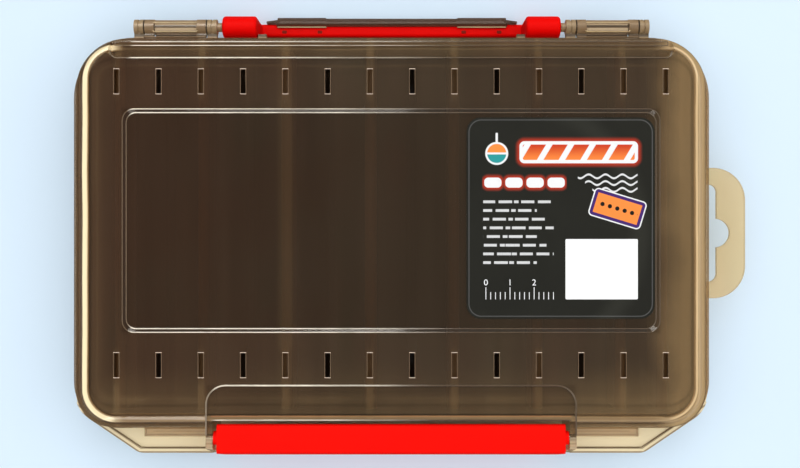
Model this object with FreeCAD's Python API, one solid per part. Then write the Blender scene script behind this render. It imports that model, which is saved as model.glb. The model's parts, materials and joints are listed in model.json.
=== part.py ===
"""Double-sided lure box: a divided tray between two hinged lids, with latches, handle and hang tab.

Millimetres. +Z is up, +Y is the hinge side, -Y the latch side and +X the hang tab's end.
The origin is the centre of the box on the underside of the lower lid.
"""

import FreeCAD
import Part
import math
import os

V = FreeCAD.Vector
X_AXIS = V(1, 0, 0)
Z_AXIS = V(0, 0, 1)

# Envelope of the closed box
box_length = 275.0
box_depth = 180.0
box_height = 50.0
rear_corner_radius = 26.0
front_corner_radius = 20.0
ledge_depth = 11.0

# Clearances between pieces that move apart
lid_gap = 0.3
side_gap = 0.4
wall_gap = 0.5
running_gap = 0.05

# Lids
lid_wall = 2.0
lip_width = 3.0
lip_height = 2.4
side_draft = 3.5
end_draft = 0.2
shoulder_radius = 5.5

# Rear shelf of each lid
shelf_side_margin = 21.0
shelf_depth = 11.5
shelf_drop = 3.0
shelf_ramp = 1.2
shelf_corner = 2.5
shelf_edge_radius = 1.6

# Window recess of each lid
window_side_margin = 26.0
window_rear_margin = 33.0
window_front_margin = 43.1
window_depth = 0.9
window_ramp = 1.7
window_corner_radius = 5.0

# Drain and air slots of each lid
vent_width = 2.1
vent_length = 10.2
vent_end_radius = 0.8
vent_rear_margin = 21.8
vent_front_margin = 29.7

# Latch bay of each lid
bay_width = 154.0
bay_depth = 21.6
bay_drop = 1.2
bay_ramp = 0.8
bay_corner_radius = 8.3
latch_setback = 6.5
cheek_thickness = 2.8
cheek_top_drop = 0.8
finger_lip_reach = 3.7
finger_lip_width = 30.0
finger_lip_height = 2.2

# Latches
latch_side_gap = 1.9
latch_plate = 2.2
latch_rear_gap = 1.5
latch_nose = 1.2
latch_mid_gap = 0.6
latch_top_reach = 12.0
latch_edge_radius = 1.4
latch_pivot_reach = 7.5
latch_pivot_drop = 3.7
latch_boss_radius = 2.9
latch_boss_length = 11.6
latch_pin_radius = 1.5
latch_pin_grip = 9.9
latch_hook_height = 1.4
latch_rib_thickness = 2.0
latch_rib_count = 5

# Tray
flange_thickness = 3.0
floor_thickness = 1.8
tray_wall = 1.8
tray_top_drop = 5.4
tray_rear_clearance = 1.6
ledge_corner_cut_side = 19.0
ledge_corner_cut_front = 28.0
ledge_side_radius = 14.0
ledge_front_radius = 7.0
ledge_rim_width = 2.0
ledge_rim_height = 1.5
catch_setback = 4.0

# Dividers
divider_pitch = 35.0
divider_width = 4.8
divider_wall = 1.2
divider_core_rounding = 0.9
end_room = 12.0

# Hinge line
axis_offset = 5.2
pin_radius = 1.0
barrel_radius = 3.4
knuckle_radius = 2.3
hinge_end_margin = 25.5
ear_width = 4.2
knuckle_gap = 0.3
barrel_length = 27.0
barrel_cheek = 4.2
guard_start_angle = 34.0
guard_end_angle = 62.0
guard_inner_radius = 2.65
groove_width = 0.7
groove_depth = 0.5
stub_radius = 1.95
stub_length = 2.1
web_thickness = 1.4
stop_width = 3.6
stop_reach = 2.0

# Carrying handle
hub_radius = 4.8
hub_length = 15.0
hub_pin_depth = 11.5
grip_reach = 23.5
grip_height = 7.0
grip_inner_offset = 1.2
grip_thickness = 5.9
grip_edge_radius = 1.6
neck_taper = 5.0
hub_edge_radius = 1.4
cover_thickness = 2.4
cover_gap = 0.2
cover_end_gap = 2.0
cover_end_taper = 9.0
cover_end_thickness = 0.9
cover_end_radius = 12.0
cover_edge_radius = 0.6
cover_wall = 1.2
cover_brim_reach = 1.3
cover_brim_height = 0.9
cover_clip_pad = 0.3
cover_clip_reach = 1.9
cover_clip_length = 22.0
cover_clip_centre = 40.5
peg_spacing = 16.0
peg_width = 2.0
peg_height = 1.6
peg_gap = 0.1

# Hang tab
tab_thickness = 2.2
tab_width = 56.8
tab_centre_y = 5.4
tab_reach = 16.6
tab_corner_radius = 14.0
tab_head_length = 1.6
tab_head_extra = 1.5
pocket_gap = 0.3
pocket_skin = 1.4
hang_slot_length = 42.4
hang_slot_reach = 4.3
hang_slot_width = 7.0
hang_slot_corner = 3.4
hang_bump_radius = 6.3

# Label
label_width = 78.0
label_thickness = 0.2
label_side_gap = 0.5
label_rear_gap = 2.0
label_front_gap = 4.1
label_corner_radius = 6.0

# Places that follow from the sizes above
half_length = box_length / 2
rear_y = box_depth / 2
ledge_front_y = -box_depth / 2
lid_front_y = ledge_front_y + ledge_depth
mid_z = box_height / 2
flange_top = mid_z + flange_thickness / 2
floor_top = mid_z + floor_thickness / 2
rim_z = flange_top + lid_gap
deck_z = box_height
tray_top = box_height - tray_top_drop
notch_y = lid_front_y + latch_setback
bay_half = bay_width / 2
cheek_inner_x = bay_half - cheek_thickness
latch_half = cheek_inner_x - latch_side_gap
axis_y = rear_y + axis_offset
pivot_y = notch_y - latch_pivot_reach
pivot_z = deck_z - latch_pivot_drop

draft_share = (tray_top - rim_z) / (deck_z - rim_z)
tray_half = half_length - lip_width - side_draft * draft_share - lid_wall - wall_gap
tray_rear_y = rear_y - lip_width - end_draft * draft_share - lid_wall - tray_rear_clearance
tray_front_y = notch_y + lid_wall + side_gap
tray_inner_half = tray_half - tray_wall

half_pitch = divider_pitch / 2
half_bays = int((2 * tray_inner_half - 2 * end_room) / half_pitch)
divider_span = half_bays * half_pitch / 2

hinge_outer_x = half_length - hinge_end_margin
ear_outer = (hinge_outer_x - ear_width, hinge_outer_x)
barrel_x = (ear_outer[0] - knuckle_gap - barrel_length, ear_outer[0] - knuckle_gap)
window_x = (barrel_x[0] + barrel_cheek, barrel_x[1] - barrel_cheek)
knuckle_x = (window_x[0] + knuckle_gap, window_x[1] - knuckle_gap)
ear_inner = (barrel_x[0] - knuckle_gap - ear_width, barrel_x[0] - knuckle_gap)
stub_x = (ear_inner[0] - stub_length, ear_inner[0])
hub_x = (stub_x[0] - side_gap - hub_length, stub_x[0] - side_gap)


def box(x_range, y_range, z_range):
    """Return a box between the given limits."""
    low = V(x_range[0], y_range[0], z_range[0])
    return Part.makeBox(x_range[1] - x_range[0], y_range[1] - y_range[0], z_range[1] - z_range[0], low)


def rod(x_range, y, z, radius):
    """Return a cylinder along X."""
    return Part.makeCylinder(radius, x_range[1] - x_range[0], V(x_range[0], y, z), X_AXIS)


def outline(corners, z):
    """Return a closed wire through (x, y, radius) corners, each rounded by its radius."""
    bends = []
    for index, (x, y, radius) in enumerate(corners):
        here = V(x, y, z)
        before = V(*corners[index - 1][:2], z)
        after = V(*corners[(index + 1) % len(corners)][:2], z)
        back = (before - here).normalize()
        ahead = (after - here).normalize()
        half_angle = back.getAngle(ahead) / 2
        reach = radius / math.tan(half_angle)
        inward = (back + ahead).normalize()
        middle = here + inward * (radius / math.sin(half_angle) - radius)
        bends.append((here + back * reach, middle, here + ahead * reach, radius))
    edges = []
    for index, (start, middle, end, radius) in enumerate(bends):
        if radius > 0:
            edges.append(Part.Arc(start, middle, end).toShape())
        edges.append(Part.LineSegment(end, bends[(index + 1) % len(bends)][0]).toShape())
    return Part.Wire(edges)


def plate(corners, z_range):
    """Return a flat plate with the given rounded outline."""
    face = Part.Face(outline(corners, z_range[0]))
    return face.extrude(V(0, 0, z_range[1] - z_range[0]))


def rectangle(x_range, y_range, radius):
    """Return the corners of a rectangle with equal corner radii."""
    return [
        (x_range[0], y_range[0], radius),
        (x_range[1], y_range[0], radius),
        (x_range[1], y_range[1], radius),
        (x_range[0], y_range[1], radius),
    ]


def side_profile(points, x_range):
    """Return a prism along X with the given (y, z) profile."""
    wire = Part.makePolygon([V(x_range[0], y, z) for y, z in points + points[:1]])
    return Part.Face(wire).extrude(V(x_range[1] - x_range[0], 0, 0))


def loft(lower, lower_z, upper, upper_z):
    """Return a ruled solid between two outlines with matching corners."""
    return Part.makeLoft([outline(lower, lower_z), outline(upper, upper_z)], True, True)


def both_sides(shape):
    """Return the shape with its mirror image in the YZ plane."""
    return [shape, shape.mirror(V(0, 0, 0), X_AXIS)]


def under(shape):
    """Return the shape's mirror image in the plane halfway up the box."""
    return shape.mirror(V(0, 0, mid_z), Z_AXIS)


def edges_at(shape, test):
    """Return the edges whose every end point passes the test."""
    return [edge for edge in shape.Edges if all(test(vertex.Point) for vertex in edge.Vertexes)]


def near(value, target):
    """Tell whether two lengths are the same."""
    return abs(value - target) < 0.01


def lid_corners(side, end):
    """Return the lid's outline, set in from the rim at the sides and at the ends."""
    half = half_length - side
    inset = (side + end) / 2
    front = (lid_front_y + end, front_corner_radius - inset)
    rear = (rear_y - end, rear_corner_radius - inset)
    return [(-half, *front), (half, *front), (half, *rear), (-half, *rear)]


def lid_block(wall, bottom_z, top_z, radius):
    """Return the drafted block inside or outside a lid's wall, with a round shoulder."""
    def corners(z):
        share = (z - rim_z) / (deck_z - rim_z)
        return lid_corners(lip_width + side_draft * share + wall, lip_width + end_draft * share + wall)

    block = loft(corners(bottom_z), bottom_z, corners(top_z), top_z)
    return block.makeFillet(radius, edges_at(block, lambda point: near(point.z, top_z)))


def shelf_block(grow, bottom_z, top_z):
    """Return the space above a lid's rear shelf, grown outwards by the given amount."""
    half = half_length - shelf_side_margin
    start_y = rear_y - shelf_depth

    def corners(spread):
        return [
            (-half + shelf_corner - spread, start_y - spread, 0),
            (half - shelf_corner + spread, start_y - spread, 0),
            (half + spread, start_y + shelf_corner - spread, 0),
            (half + spread, rear_y + spread, 0),
            (-half - spread, rear_y + spread, 0),
            (-half - spread, start_y + shelf_corner - spread, 0),
        ]

    return loft(corners(grow), bottom_z, corners(grow + shelf_ramp), top_z)


def window_corners(inset):
    """Return the window recess's outline, set in by the given amount."""
    half = half_length - window_side_margin - inset
    front = lid_front_y + window_front_margin + inset
    rear = rear_y - window_rear_margin - inset
    return rectangle((-half, half), (front, rear), window_corner_radius - inset / 2)


def bay_corners(grow):
    """Return the latch bay's outline, grown outwards by the given amount."""
    half = bay_half + grow
    rear = lid_front_y + bay_depth + grow
    front = lid_front_y - finger_lip_reach
    radius = bay_corner_radius + grow
    return [(-half, front, 0), (half, front, 0), (half, rear, radius), (-half, rear, radius)]


def lid_pockets():
    """Return the solid places left in a lid's hollow under its dropped features."""
    shelf_under = deck_z - shelf_drop - lid_wall
    window_under = deck_z - window_depth - lid_wall
    bay_under = deck_z - bay_drop - lid_wall
    notch_half = cheek_inner_x + lid_wall
    return [
        shelf_block(lid_wall, shelf_under, deck_z),
        plate(window_corners(-lid_wall), (window_under, deck_z)),
        plate(bay_corners(lid_wall), (bay_under, deck_z)),
        box((-notch_half, notch_half), (lid_front_y, notch_y + lid_wall), (0, deck_z)),
    ]


def vent_slots():
    """Return the slots that pass through a lid's deck, in two rows."""
    slots = []
    for row_y in (rear_y - vent_rear_margin, lid_front_y + vent_front_margin):
        for index in range(half_bays + 1):
            x = -divider_span + index * half_pitch
            x_range = (x - vent_width / 2, x + vent_width / 2)
            y_range = (row_y - vent_length / 2, row_y + vent_length / 2)
            slots.append(plate(rectangle(x_range, y_range, vent_end_radius), (tray_top, deck_z + 1)))
    return slots


def latch_cheek():
    """Return the cheek of a lid that carries one end of its latch."""
    top = deck_z - cheek_top_drop
    front_low = ledge_front_y + side_gap
    front_high = notch_y - latch_top_reach
    profile = [
        (notch_y + lid_wall, rim_z),
        (notch_y + lid_wall, top - bay_drop),
        (front_high + latch_nose, top),
        (front_high, top - latch_nose),
        (front_low, rim_z + latch_plate),
        (front_low, rim_z),
    ]
    cheek = side_profile(profile, (cheek_inner_x, bay_half))
    return cheek.cut(rod((cheek_inner_x - 1, bay_half + 1), pivot_y, pivot_z, latch_pin_radius))


def lid_shell():
    """Return a lid without its hinge knuckles, in the upper lid's place."""
    block = lid_block(0, rim_z, deck_z, shoulder_radius)
    lip = plate(lid_corners(0, 0), (rim_z, rim_z + lip_height))
    hollow = lid_block(lid_wall, rim_z - 1, deck_z - lid_wall, shoulder_radius - lid_wall)
    hollow = hollow.cut(lid_pockets())
    shelf = shelf_block(0, deck_z - shelf_drop, deck_z + 1)
    window = loft(window_corners(window_ramp), deck_z - window_depth, window_corners(0), deck_z)
    bay = loft(bay_corners(-bay_ramp), deck_z - bay_drop, bay_corners(0), deck_z)
    notch = box((-cheek_inner_x, cheek_inner_x), (ledge_front_y, notch_y), (rim_z - 1, deck_z + 1))
    finger_x = (bay_half - cheek_thickness, bay_half + finger_lip_width)
    finger_y = (lid_front_y - finger_lip_reach, lid_front_y + lip_width)
    finger_lip = box(finger_x, finger_y, (rim_z, rim_z + finger_lip_height))
    shell = block.fuse([lip] + both_sides(finger_lip))
    shell = shell.cut([hollow, shelf, window, bay])
    brow_y = rear_y - shelf_depth / 2
    brow = edges_at(shell, lambda point: near(point.z, deck_z - shelf_drop) and point.y > brow_y)
    shell = shell.makeFillet(shelf_edge_radius, [edge for edge in brow if edge.Length > half_length])
    shell = shell.cut([notch] + vent_slots())
    return shell.fuse(both_sides(latch_cheek())).removeSplitter()


def hinge_web(length_end):
    """Return the (y, z) profile of the web from an upper lid's lip to its knuckle."""
    low = rim_z
    high = rim_z + web_thickness
    return [
        (rear_y - lip_width, low),
        (rear_y + lid_gap, low),
        (axis_y - barrel_radius, mid_z + web_thickness / 6),
        (length_end, mid_z + web_thickness / 6),
        (length_end, mid_z + barrel_radius / 3),
        (axis_y - barrel_radius, mid_z + barrel_radius / 2),
        (rear_y + lip_width / 2, high),
        (rear_y - lip_width, high),
    ]


def finger_guard():
    """Return the bar that bridges the two knuckles of an upper barrel, outside the pin."""
    ring = rod(barrel_x, axis_y, mid_z, barrel_radius).cut(rod(barrel_x, axis_y, mid_z, guard_inner_radius))
    reach = 2 * barrel_radius
    wedge = [(axis_y, mid_z)]
    for angle in (guard_start_angle, guard_end_angle):
        turn = math.radians(angle)
        wedge.append((axis_y + reach * math.cos(turn), mid_z + reach * math.sin(turn)))
    return ring.common(side_profile(wedge, barrel_x))


def upper_hinge():
    """Return one upper barrel: two knuckles, the web to the lid and the guard bar."""
    barrel = rod(barrel_x, axis_y, mid_z, barrel_radius).fuse(side_profile(hinge_web(axis_y), barrel_x))
    web_end = (rear_y - lip_width, rear_y + 2 * side_gap)
    opening = box(window_x, (web_end[1], axis_y + 2 * barrel_radius), (0, deck_z))
    barrel = barrel.cut(opening).fuse(finger_guard())
    return barrel.cut(rod((0, half_length), axis_y, mid_z, pin_radius + running_gap))


def lower_hinge():
    """Return one lower knuckle with its web, in the lower lid's place."""
    web = under(side_profile(hinge_web(axis_y - pin_radius), knuckle_x))
    knuckle = rod(knuckle_x, axis_y, mid_z, knuckle_radius).fuse(web)
    return knuckle.cut(rod((0, half_length), axis_y, mid_z, pin_radius + running_gap))


def upper_lid():
    """Return the upper lid."""
    return lid_shell().fuse(both_sides(upper_hinge())).removeSplitter()


def lower_lid():
    """Return the lower lid."""
    return under(lid_shell()).fuse(both_sides(lower_hinge())).removeSplitter()


def latch():
    """Return the upper latch: a top plate, a sloping front plate, ribs and pivot bosses."""
    rear = notch_y - latch_rear_gap
    shoulder = rear - latch_top_reach
    foot = ledge_front_y - latch_nose
    low = mid_z + latch_mid_gap
    slope = (foot - shoulder) / (deck_z - low)
    inner_shoulder = shoulder + latch_plate
    outside = [
        (rear, deck_z),
        (shoulder, deck_z),
        (foot, low),
        (foot + latch_plate, low),
        (inner_shoulder, deck_z - latch_plate),
        (rear, deck_z - latch_plate),
    ]
    x_range = (-latch_half, latch_half)
    shell = side_profile(outside, x_range)
    corner = edges_at(shell, lambda point: near(point.y, shoulder) and near(point.z, deck_z))
    rear_edge = edges_at(shell, lambda point: near(point.y, rear) and near(point.z, deck_z))
    shell = shell.makeFillet(latch_edge_radius, corner + rear_edge)
    hook_y = (foot + latch_plate / 2, ledge_front_y + catch_setback - side_gap)
    hook = box((-latch_half, latch_half), hook_y, (low, low + latch_hook_height))
    rib_low = pivot_z - 2 * latch_boss_radius
    rib = [
        (rear - latch_boss_radius, deck_z - latch_plate / 2),
        (shoulder + latch_plate / 2, deck_z - latch_plate / 2),
        (shoulder + slope * (deck_z - rib_low) + latch_plate / 2, rib_low),
        (pivot_y - latch_boss_radius, rib_low),
        (pivot_y + latch_boss_radius / 2, pivot_z - latch_boss_radius / 2),
    ]
    parts = [hook]
    rib_step = (2 * latch_half - latch_rib_thickness) / (latch_rib_count - 1)
    for index in range(latch_rib_count):
        start = -latch_half + index * rib_step
        parts.append(side_profile(rib, (start, start + latch_rib_thickness)))
    boss_end = cheek_inner_x - lid_gap
    boss_x = (boss_end - latch_boss_length, boss_end)
    parts += both_sides(rod(boss_x, pivot_y, pivot_z, latch_boss_radius))
    bore_x = (cheek_inner_x - latch_pin_grip - lid_gap, bay_half)
    bores = both_sides(rod(bore_x, pivot_y, pivot_z, latch_pin_radius + running_gap))
    return shell.fuse(parts).cut(bores).removeSplitter()


def latch_pins():
    """Return the two short pins that the upper latch turns on."""
    x_range = (cheek_inner_x - latch_pin_grip, bay_half)
    return Part.makeCompound(both_sides(rod(x_range, pivot_y, pivot_z, latch_pin_radius)))


def flange_corners(inset):
    """Return the outline of the tray's flange and front ledge, set in by the given amount."""
    half = half_length - inset
    rear = rear_y - inset
    front = ledge_front_y + inset
    side_y = ledge_front_y + ledge_corner_cut_side + inset / 2
    front_x = half_length - ledge_corner_cut_front - inset / 2
    return [
        (-half, side_y, ledge_side_radius),
        (-front_x, front, ledge_front_radius),
        (front_x, front, ledge_front_radius),
        (half, side_y, ledge_side_radius),
        (half, rear, rear_corner_radius - inset),
        (-half, rear, rear_corner_radius - inset),
    ]


def tray_corners(inset):
    """Return the outline of the tray's wall, set in by the given amount."""
    half = tray_half - inset
    shift = half_length - tray_half + inset
    front = (tray_front_y + inset, front_corner_radius - shift)
    rear = (tray_rear_y - inset, rear_corner_radius - shift)
    return [(-half, *front), (half, *front), (half, *rear), (-half, *rear)]


def divider_places():
    """Return the places along X of the dividers and end walls on the upper side."""
    places = []
    x = -divider_span
    while x < divider_span - half_pitch / 2:
        places.append(x)
        x += divider_pitch
    return places + [divider_span]


def upper_room():
    """Return the room inside the tray's wall above its floor."""
    return plate(tray_corners(tray_wall), (floor_top, deck_z))


def divider(x):
    """Return one hollow divider with a round top, standing on the upper side of the floor."""
    radius = divider_width / 2
    core_radius = radius - divider_wall
    y_range = (tray_front_y + tray_wall / 2, tray_rear_y - tray_wall / 2)
    upright = box((x - radius, x + radius), y_range, (floor_top, tray_top - radius))
    length = y_range[1] - y_range[0]
    crest = Part.makeCylinder(radius, length, V(x, y_range[0], tray_top - radius), V(0, 1, 0))
    core_y = (tray_front_y + tray_wall + divider_wall, tray_rear_y - tray_wall - divider_wall)
    core_corners = rectangle((x - core_radius, x + core_radius), core_y, divider_core_rounding * core_radius)
    core = plate(core_corners, (mid_z, tray_top - divider_wall))
    return upright.fuse(crest).common(upper_room()).cut(core).removeSplitter()


def tab_pocket():
    """Return the space that the hang tab slides in, through the tray's wall and flange."""
    head_half = tab_width / 2 + tab_head_extra + pocket_gap
    neck_half = tab_width / 2 + pocket_gap
    z_range = (mid_z - tab_thickness / 2 - pocket_gap, mid_z + tab_thickness / 2 + pocket_gap)
    inner_x = divider_span + divider_width / 2 + pocket_skin
    head_y = (tab_centre_y - head_half, tab_centre_y + head_half)
    neck_y = (tab_centre_y - neck_half, tab_centre_y + neck_half)
    head = box((inner_x, tray_inner_half), head_y, z_range)
    neck = box((inner_x, half_length + 1), neck_y, z_range)
    gate = box((tray_half, half_length + 1), neck_y, (mid_z - flange_thickness, mid_z + flange_thickness))
    return head.fuse([neck, gate])


def pocket_block():
    """Return the double floor around the hang tab's pocket."""
    half_width = tab_width / 2 + tab_head_extra + pocket_gap + pocket_skin
    half_height = tab_thickness / 2 + pocket_gap + pocket_skin
    y_range = (tab_centre_y - half_width, tab_centre_y + half_width)
    x_range = (divider_span + divider_width / 2, tray_half - tray_wall / 2)
    return box(x_range, y_range, (mid_z - half_height, mid_z + half_height))


def ledge_rim():
    """Return the raised rim along the front ledge's edge, on both faces of the flange."""
    z_range = (mid_z - flange_thickness / 2 - ledge_rim_height, flange_top + ledge_rim_height)
    ring = plate(flange_corners(0), z_range).cut(plate(flange_corners(ledge_rim_width), z_range))
    front = box((-half_length, half_length), (ledge_front_y - 1, lid_front_y + ledge_depth), z_range)
    lid_room = plate(lid_corners(-side_gap, -side_gap), z_range)
    finger_room_x = bay_half + finger_lip_width + side_gap
    finger_room_y = (lid_front_y - finger_lip_reach - side_gap, 0)
    finger_room = box((-finger_room_x, finger_room_x), finger_room_y, z_range)
    return ring.common(front).cut([lid_room, finger_room])


def tray():
    """Return the tray: flange, walls, mid floor, tab pocket, hinge ears and front ledge."""
    flange = plate(flange_corners(0), (mid_z - flange_thickness / 2, flange_top))
    wall = plate(tray_corners(0), (box_height - tray_top, tray_top))
    body = flange.fuse([wall, ledge_rim()])
    body = body.cut([upper_room(), under(upper_room())]).fuse(pocket_block())
    bay_room_half = bay_half + side_gap
    latch_room = box(
        (-bay_room_half, bay_room_half), (ledge_front_y - 1, ledge_front_y + catch_setback), (0, box_height)
    )
    body = body.cut([tab_pocket(), latch_room])
    ears = []
    web_y = (rear_y - lip_width, axis_y)
    web_z = (mid_z - flange_thickness / 2, flange_top)
    for x_range in (ear_outer, ear_inner):
        middle = (x_range[0] + x_range[1]) / 2
        groove_x = (middle - groove_width / 2, middle + groove_width / 2)
        neck = rod(groove_x, axis_y, mid_z, barrel_radius - groove_depth)
        groove = rod(groove_x, axis_y, mid_z, barrel_radius).cut(neck)
        ears.append(rod(x_range, axis_y, mid_z, barrel_radius).cut(groove).fuse(box(x_range, web_y, web_z)))
    ears.append(rod(stub_x, axis_y, mid_z, stub_radius))
    stop_x = (hub_x[0] - side_gap - stop_width, hub_x[0] - side_gap)
    ears.append(box(stop_x, (rear_y - lip_width, rear_y + stop_reach), web_z))
    bore = rod((0, half_length), axis_y, mid_z, pin_radius)
    for ear in ears:
        body = body.fuse(both_sides(ear))
    return body.cut(both_sides(bore)).removeSplitter()


def hinge_pin():
    """Return the right-hand hinge pin, from the outer ear into the handle's hub."""
    return rod((hub_x[1] - hub_pin_depth, hinge_outer_x), axis_y, mid_z, pin_radius)


def handle_arm():
    """Return one arm of the handle, from its hub on the hinge line down to the grip."""
    low = mid_z - grip_reach
    outer = axis_y - grip_inner_offset + grip_thickness
    inner = axis_y - grip_inner_offset
    profile = [
        (axis_y - hub_radius, mid_z),
        (axis_y + hub_radius, mid_z),
        (outer, low + grip_height),
        (outer, low),
        (inner, low),
        (inner, low + 1.5 * grip_height),
        (axis_y - hub_radius, mid_z - hub_radius),
    ]
    arm = side_profile(profile, hub_x).fuse(rod(hub_x, axis_y, mid_z, hub_radius))
    trim_high = mid_z - hub_radius
    trim = [
        (hub_x[1] + 1, trim_high),
        (hub_x[1], trim_high),
        (hub_x[1] - neck_taper, low - 1),
        (hub_x[1] + 1, low - 1),
    ]
    wire = Part.makePolygon([V(x, rear_y, z) for x, z in trim + trim[:1]])
    arm = arm.removeSplitter().cut(Part.Face(wire).extrude(V(0, box_height, 0)))
    hub_rims = [edge for edge in arm.Edges if isinstance(edge.Curve, Part.Circle)]
    return arm.makeFillet(hub_edge_radius, hub_rims)


def grip_block(x_range, edge_radius):
    """Return the grip's bar with rounded long edges."""
    low = mid_z - grip_reach
    inner = axis_y - grip_inner_offset
    bar = box(x_range, (inner, inner + grip_thickness), (low, low + grip_height))
    return bar.makeFillet(edge_radius, [edge for edge in bar.Edges if edge.Length > hub_length])


def peg_places():
    """Return the places along X of the grip cover's pegs."""
    offsets = (cover_clip_centre - peg_spacing / 2, cover_clip_centre + peg_spacing / 2)
    return [-offsets[1], -offsets[0], offsets[0], offsets[1]]


def peg(x, gap):
    """Return one peg through the grip, grown by the given gap."""
    middle_z = mid_z - grip_reach + grip_height / 2
    inner = axis_y - grip_inner_offset
    y_range = (inner - gap, inner + grip_thickness + cover_gap + gap)
    x_range = (x - peg_width / 2 - gap, x + peg_width / 2 + gap)
    return box(x_range, y_range, (middle_z - peg_height / 2 - gap, middle_z + peg_height / 2 + gap))


def handle():
    """Return the carrying handle, folded down behind the box."""
    grip = grip_block((-hub_x[0] - 2, hub_x[0] + 2), grip_edge_radius)
    body = grip.fuse(both_sides(handle_arm()))
    bore_x = (hub_x[1] - hub_pin_depth - side_gap, hub_x[1])
    bores = both_sides(rod(bore_x, axis_y, mid_z, pin_radius + running_gap))
    return body.cut(bores + [peg(x, peg_gap) for x in peg_places()]).removeSplitter()


def handle_cover():
    """Return the strip clipped to the outside of the grip, with a brim over the grip's top."""
    low = mid_z - grip_reach
    top = low + grip_height
    start_y = axis_y - grip_inner_offset + grip_thickness + cover_gap
    half = hub_x[0] - cover_end_gap
    strip_y = start_y + cover_thickness - cover_clip_pad
    corners = [
        (-half, start_y, 0),
        (half, start_y, 0),
        (half, start_y + cover_end_thickness, 0),
        (half - cover_end_taper, strip_y, cover_end_radius),
        (-half + cover_end_taper, strip_y, cover_end_radius),
        (-half, start_y + cover_end_thickness, 0),
    ]
    brim_z = (top + cover_gap, top + cover_gap + cover_brim_height)
    strip = plate(corners, (low, brim_z[1]))
    strip = strip.makeFillet(cover_edge_radius, edges_at(strip, lambda point: near(point.y, strip_y)))
    brim_half = half - cover_end_taper / 2
    brim_y = (start_y - cover_gap - cover_brim_reach, start_y + cover_wall)
    clip_y = (start_y - cover_gap - cover_clip_reach, start_y + cover_wall)
    clip_z = (brim_z[0], brim_z[1] + cover_clip_pad)
    parts = [box((-brim_half, brim_half), brim_y, brim_z)]
    for side in (-1, 1):
        centre = side * cover_clip_centre
        x_range = (centre - cover_clip_length / 2, centre + cover_clip_length / 2)
        pad = box(x_range, (start_y, start_y + cover_thickness), (low, clip_z[1]))
        ridge = edges_at(pad, lambda point: near(point.y, start_y + cover_thickness))
        parts.append(pad.makeFillet(cover_edge_radius, ridge))
        parts.append(box(x_range, clip_y, clip_z))
    return strip.fuse(parts + [peg(x, 0) for x in peg_places()]).removeSplitter()


def hang_tab():
    """Return the hang tab, pulled out, with its slot and round notch."""
    z_range = (mid_z - tab_thickness / 2, mid_z + tab_thickness / 2)
    inner_x = tray_inner_half - pocket_gap - tab_head_length
    y_range = (tab_centre_y - tab_width / 2, tab_centre_y + tab_width / 2)
    outer_x = half_length + tab_reach
    blade = [
        (inner_x, y_range[0], 0),
        (outer_x, y_range[0], tab_corner_radius),
        (outer_x, y_range[1], tab_corner_radius),
        (inner_x, y_range[1], 0),
    ]
    head_y = (y_range[0] - tab_head_extra, y_range[1] + tab_head_extra)
    head = box((inner_x, inner_x + tab_head_length), head_y, z_range)
    slot_x = (half_length + hang_slot_reach - hang_slot_width, half_length + hang_slot_reach)
    slot_y = (tab_centre_y - hang_slot_length / 2, tab_centre_y + hang_slot_length / 2)
    slot = plate(rectangle(slot_x, slot_y, hang_slot_corner), (0, deck_z))
    bump = Part.makeCylinder(hang_bump_radius, deck_z, V(slot_x[1] - tab_thickness / 4, tab_centre_y, 0))
    return plate(blade, z_range).fuse(head).cut([slot, bump]).removeSplitter()


def label():
    """Return the label laid in the upper lid's window."""
    right = half_length - window_side_margin - window_ramp - label_side_gap
    front = lid_front_y + window_front_margin + window_ramp + label_front_gap
    rear = rear_y - window_rear_margin - window_ramp - label_rear_gap
    floor_z = deck_z - window_depth
    corners = rectangle((right - label_width, right), (front, rear), label_corner_radius)
    return plate(corners, (floor_z, floor_z + label_thickness))


right_pin = hinge_pin()
upper_latch = latch()
upper_pins = latch_pins()
nodes = {
    "tray": tray(),
    "upper_lid": upper_lid(),
    "lower_lid": lower_lid(),
    "upper_latch": upper_latch,
    "lower_latch": under(upper_latch),
    "upper_latch_pins": upper_pins,
    "lower_latch_pins": under(upper_pins),
    "right_hinge_pin": right_pin,
    "left_hinge_pin": right_pin.mirror(V(0, 0, 0), X_AXIS),
    "carry_handle": handle(),
    "handle_cover": handle_cover(),
    "hang_tab": hang_tab(),
    "label": label(),
}
for index, place in enumerate(divider_places()):
    nodes[f"upper_divider_{index + 1}"] = divider(place)
    nodes[f"lower_divider_{index + 1}"] = under(divider(-place))

os.makedirs("parts", exist_ok=True)
for name, shape in nodes.items():
    shape.exportStep(os.path.join("parts", name + ".step"))
    print(name, len(shape.Solids), shape.isValid(), round(shape.Volume, 1))
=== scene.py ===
"""Slim double-sided lure box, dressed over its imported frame.

Lengths are in millimetres. +Z is up through the upper lid, +Y is the hinge side, -Y the latch side
and +X the hang tab's end. The origin is the centre of the box on the underside of the lower lid.
"""

import json
import logging
import math
from collections.abc import Callable, Iterator, Mapping, Sequence
from dataclasses import dataclass, field
from enum import Enum
from functools import cache
from typing import Any, Protocol

import bpy
from mathutils import Matrix, Vector

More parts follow.
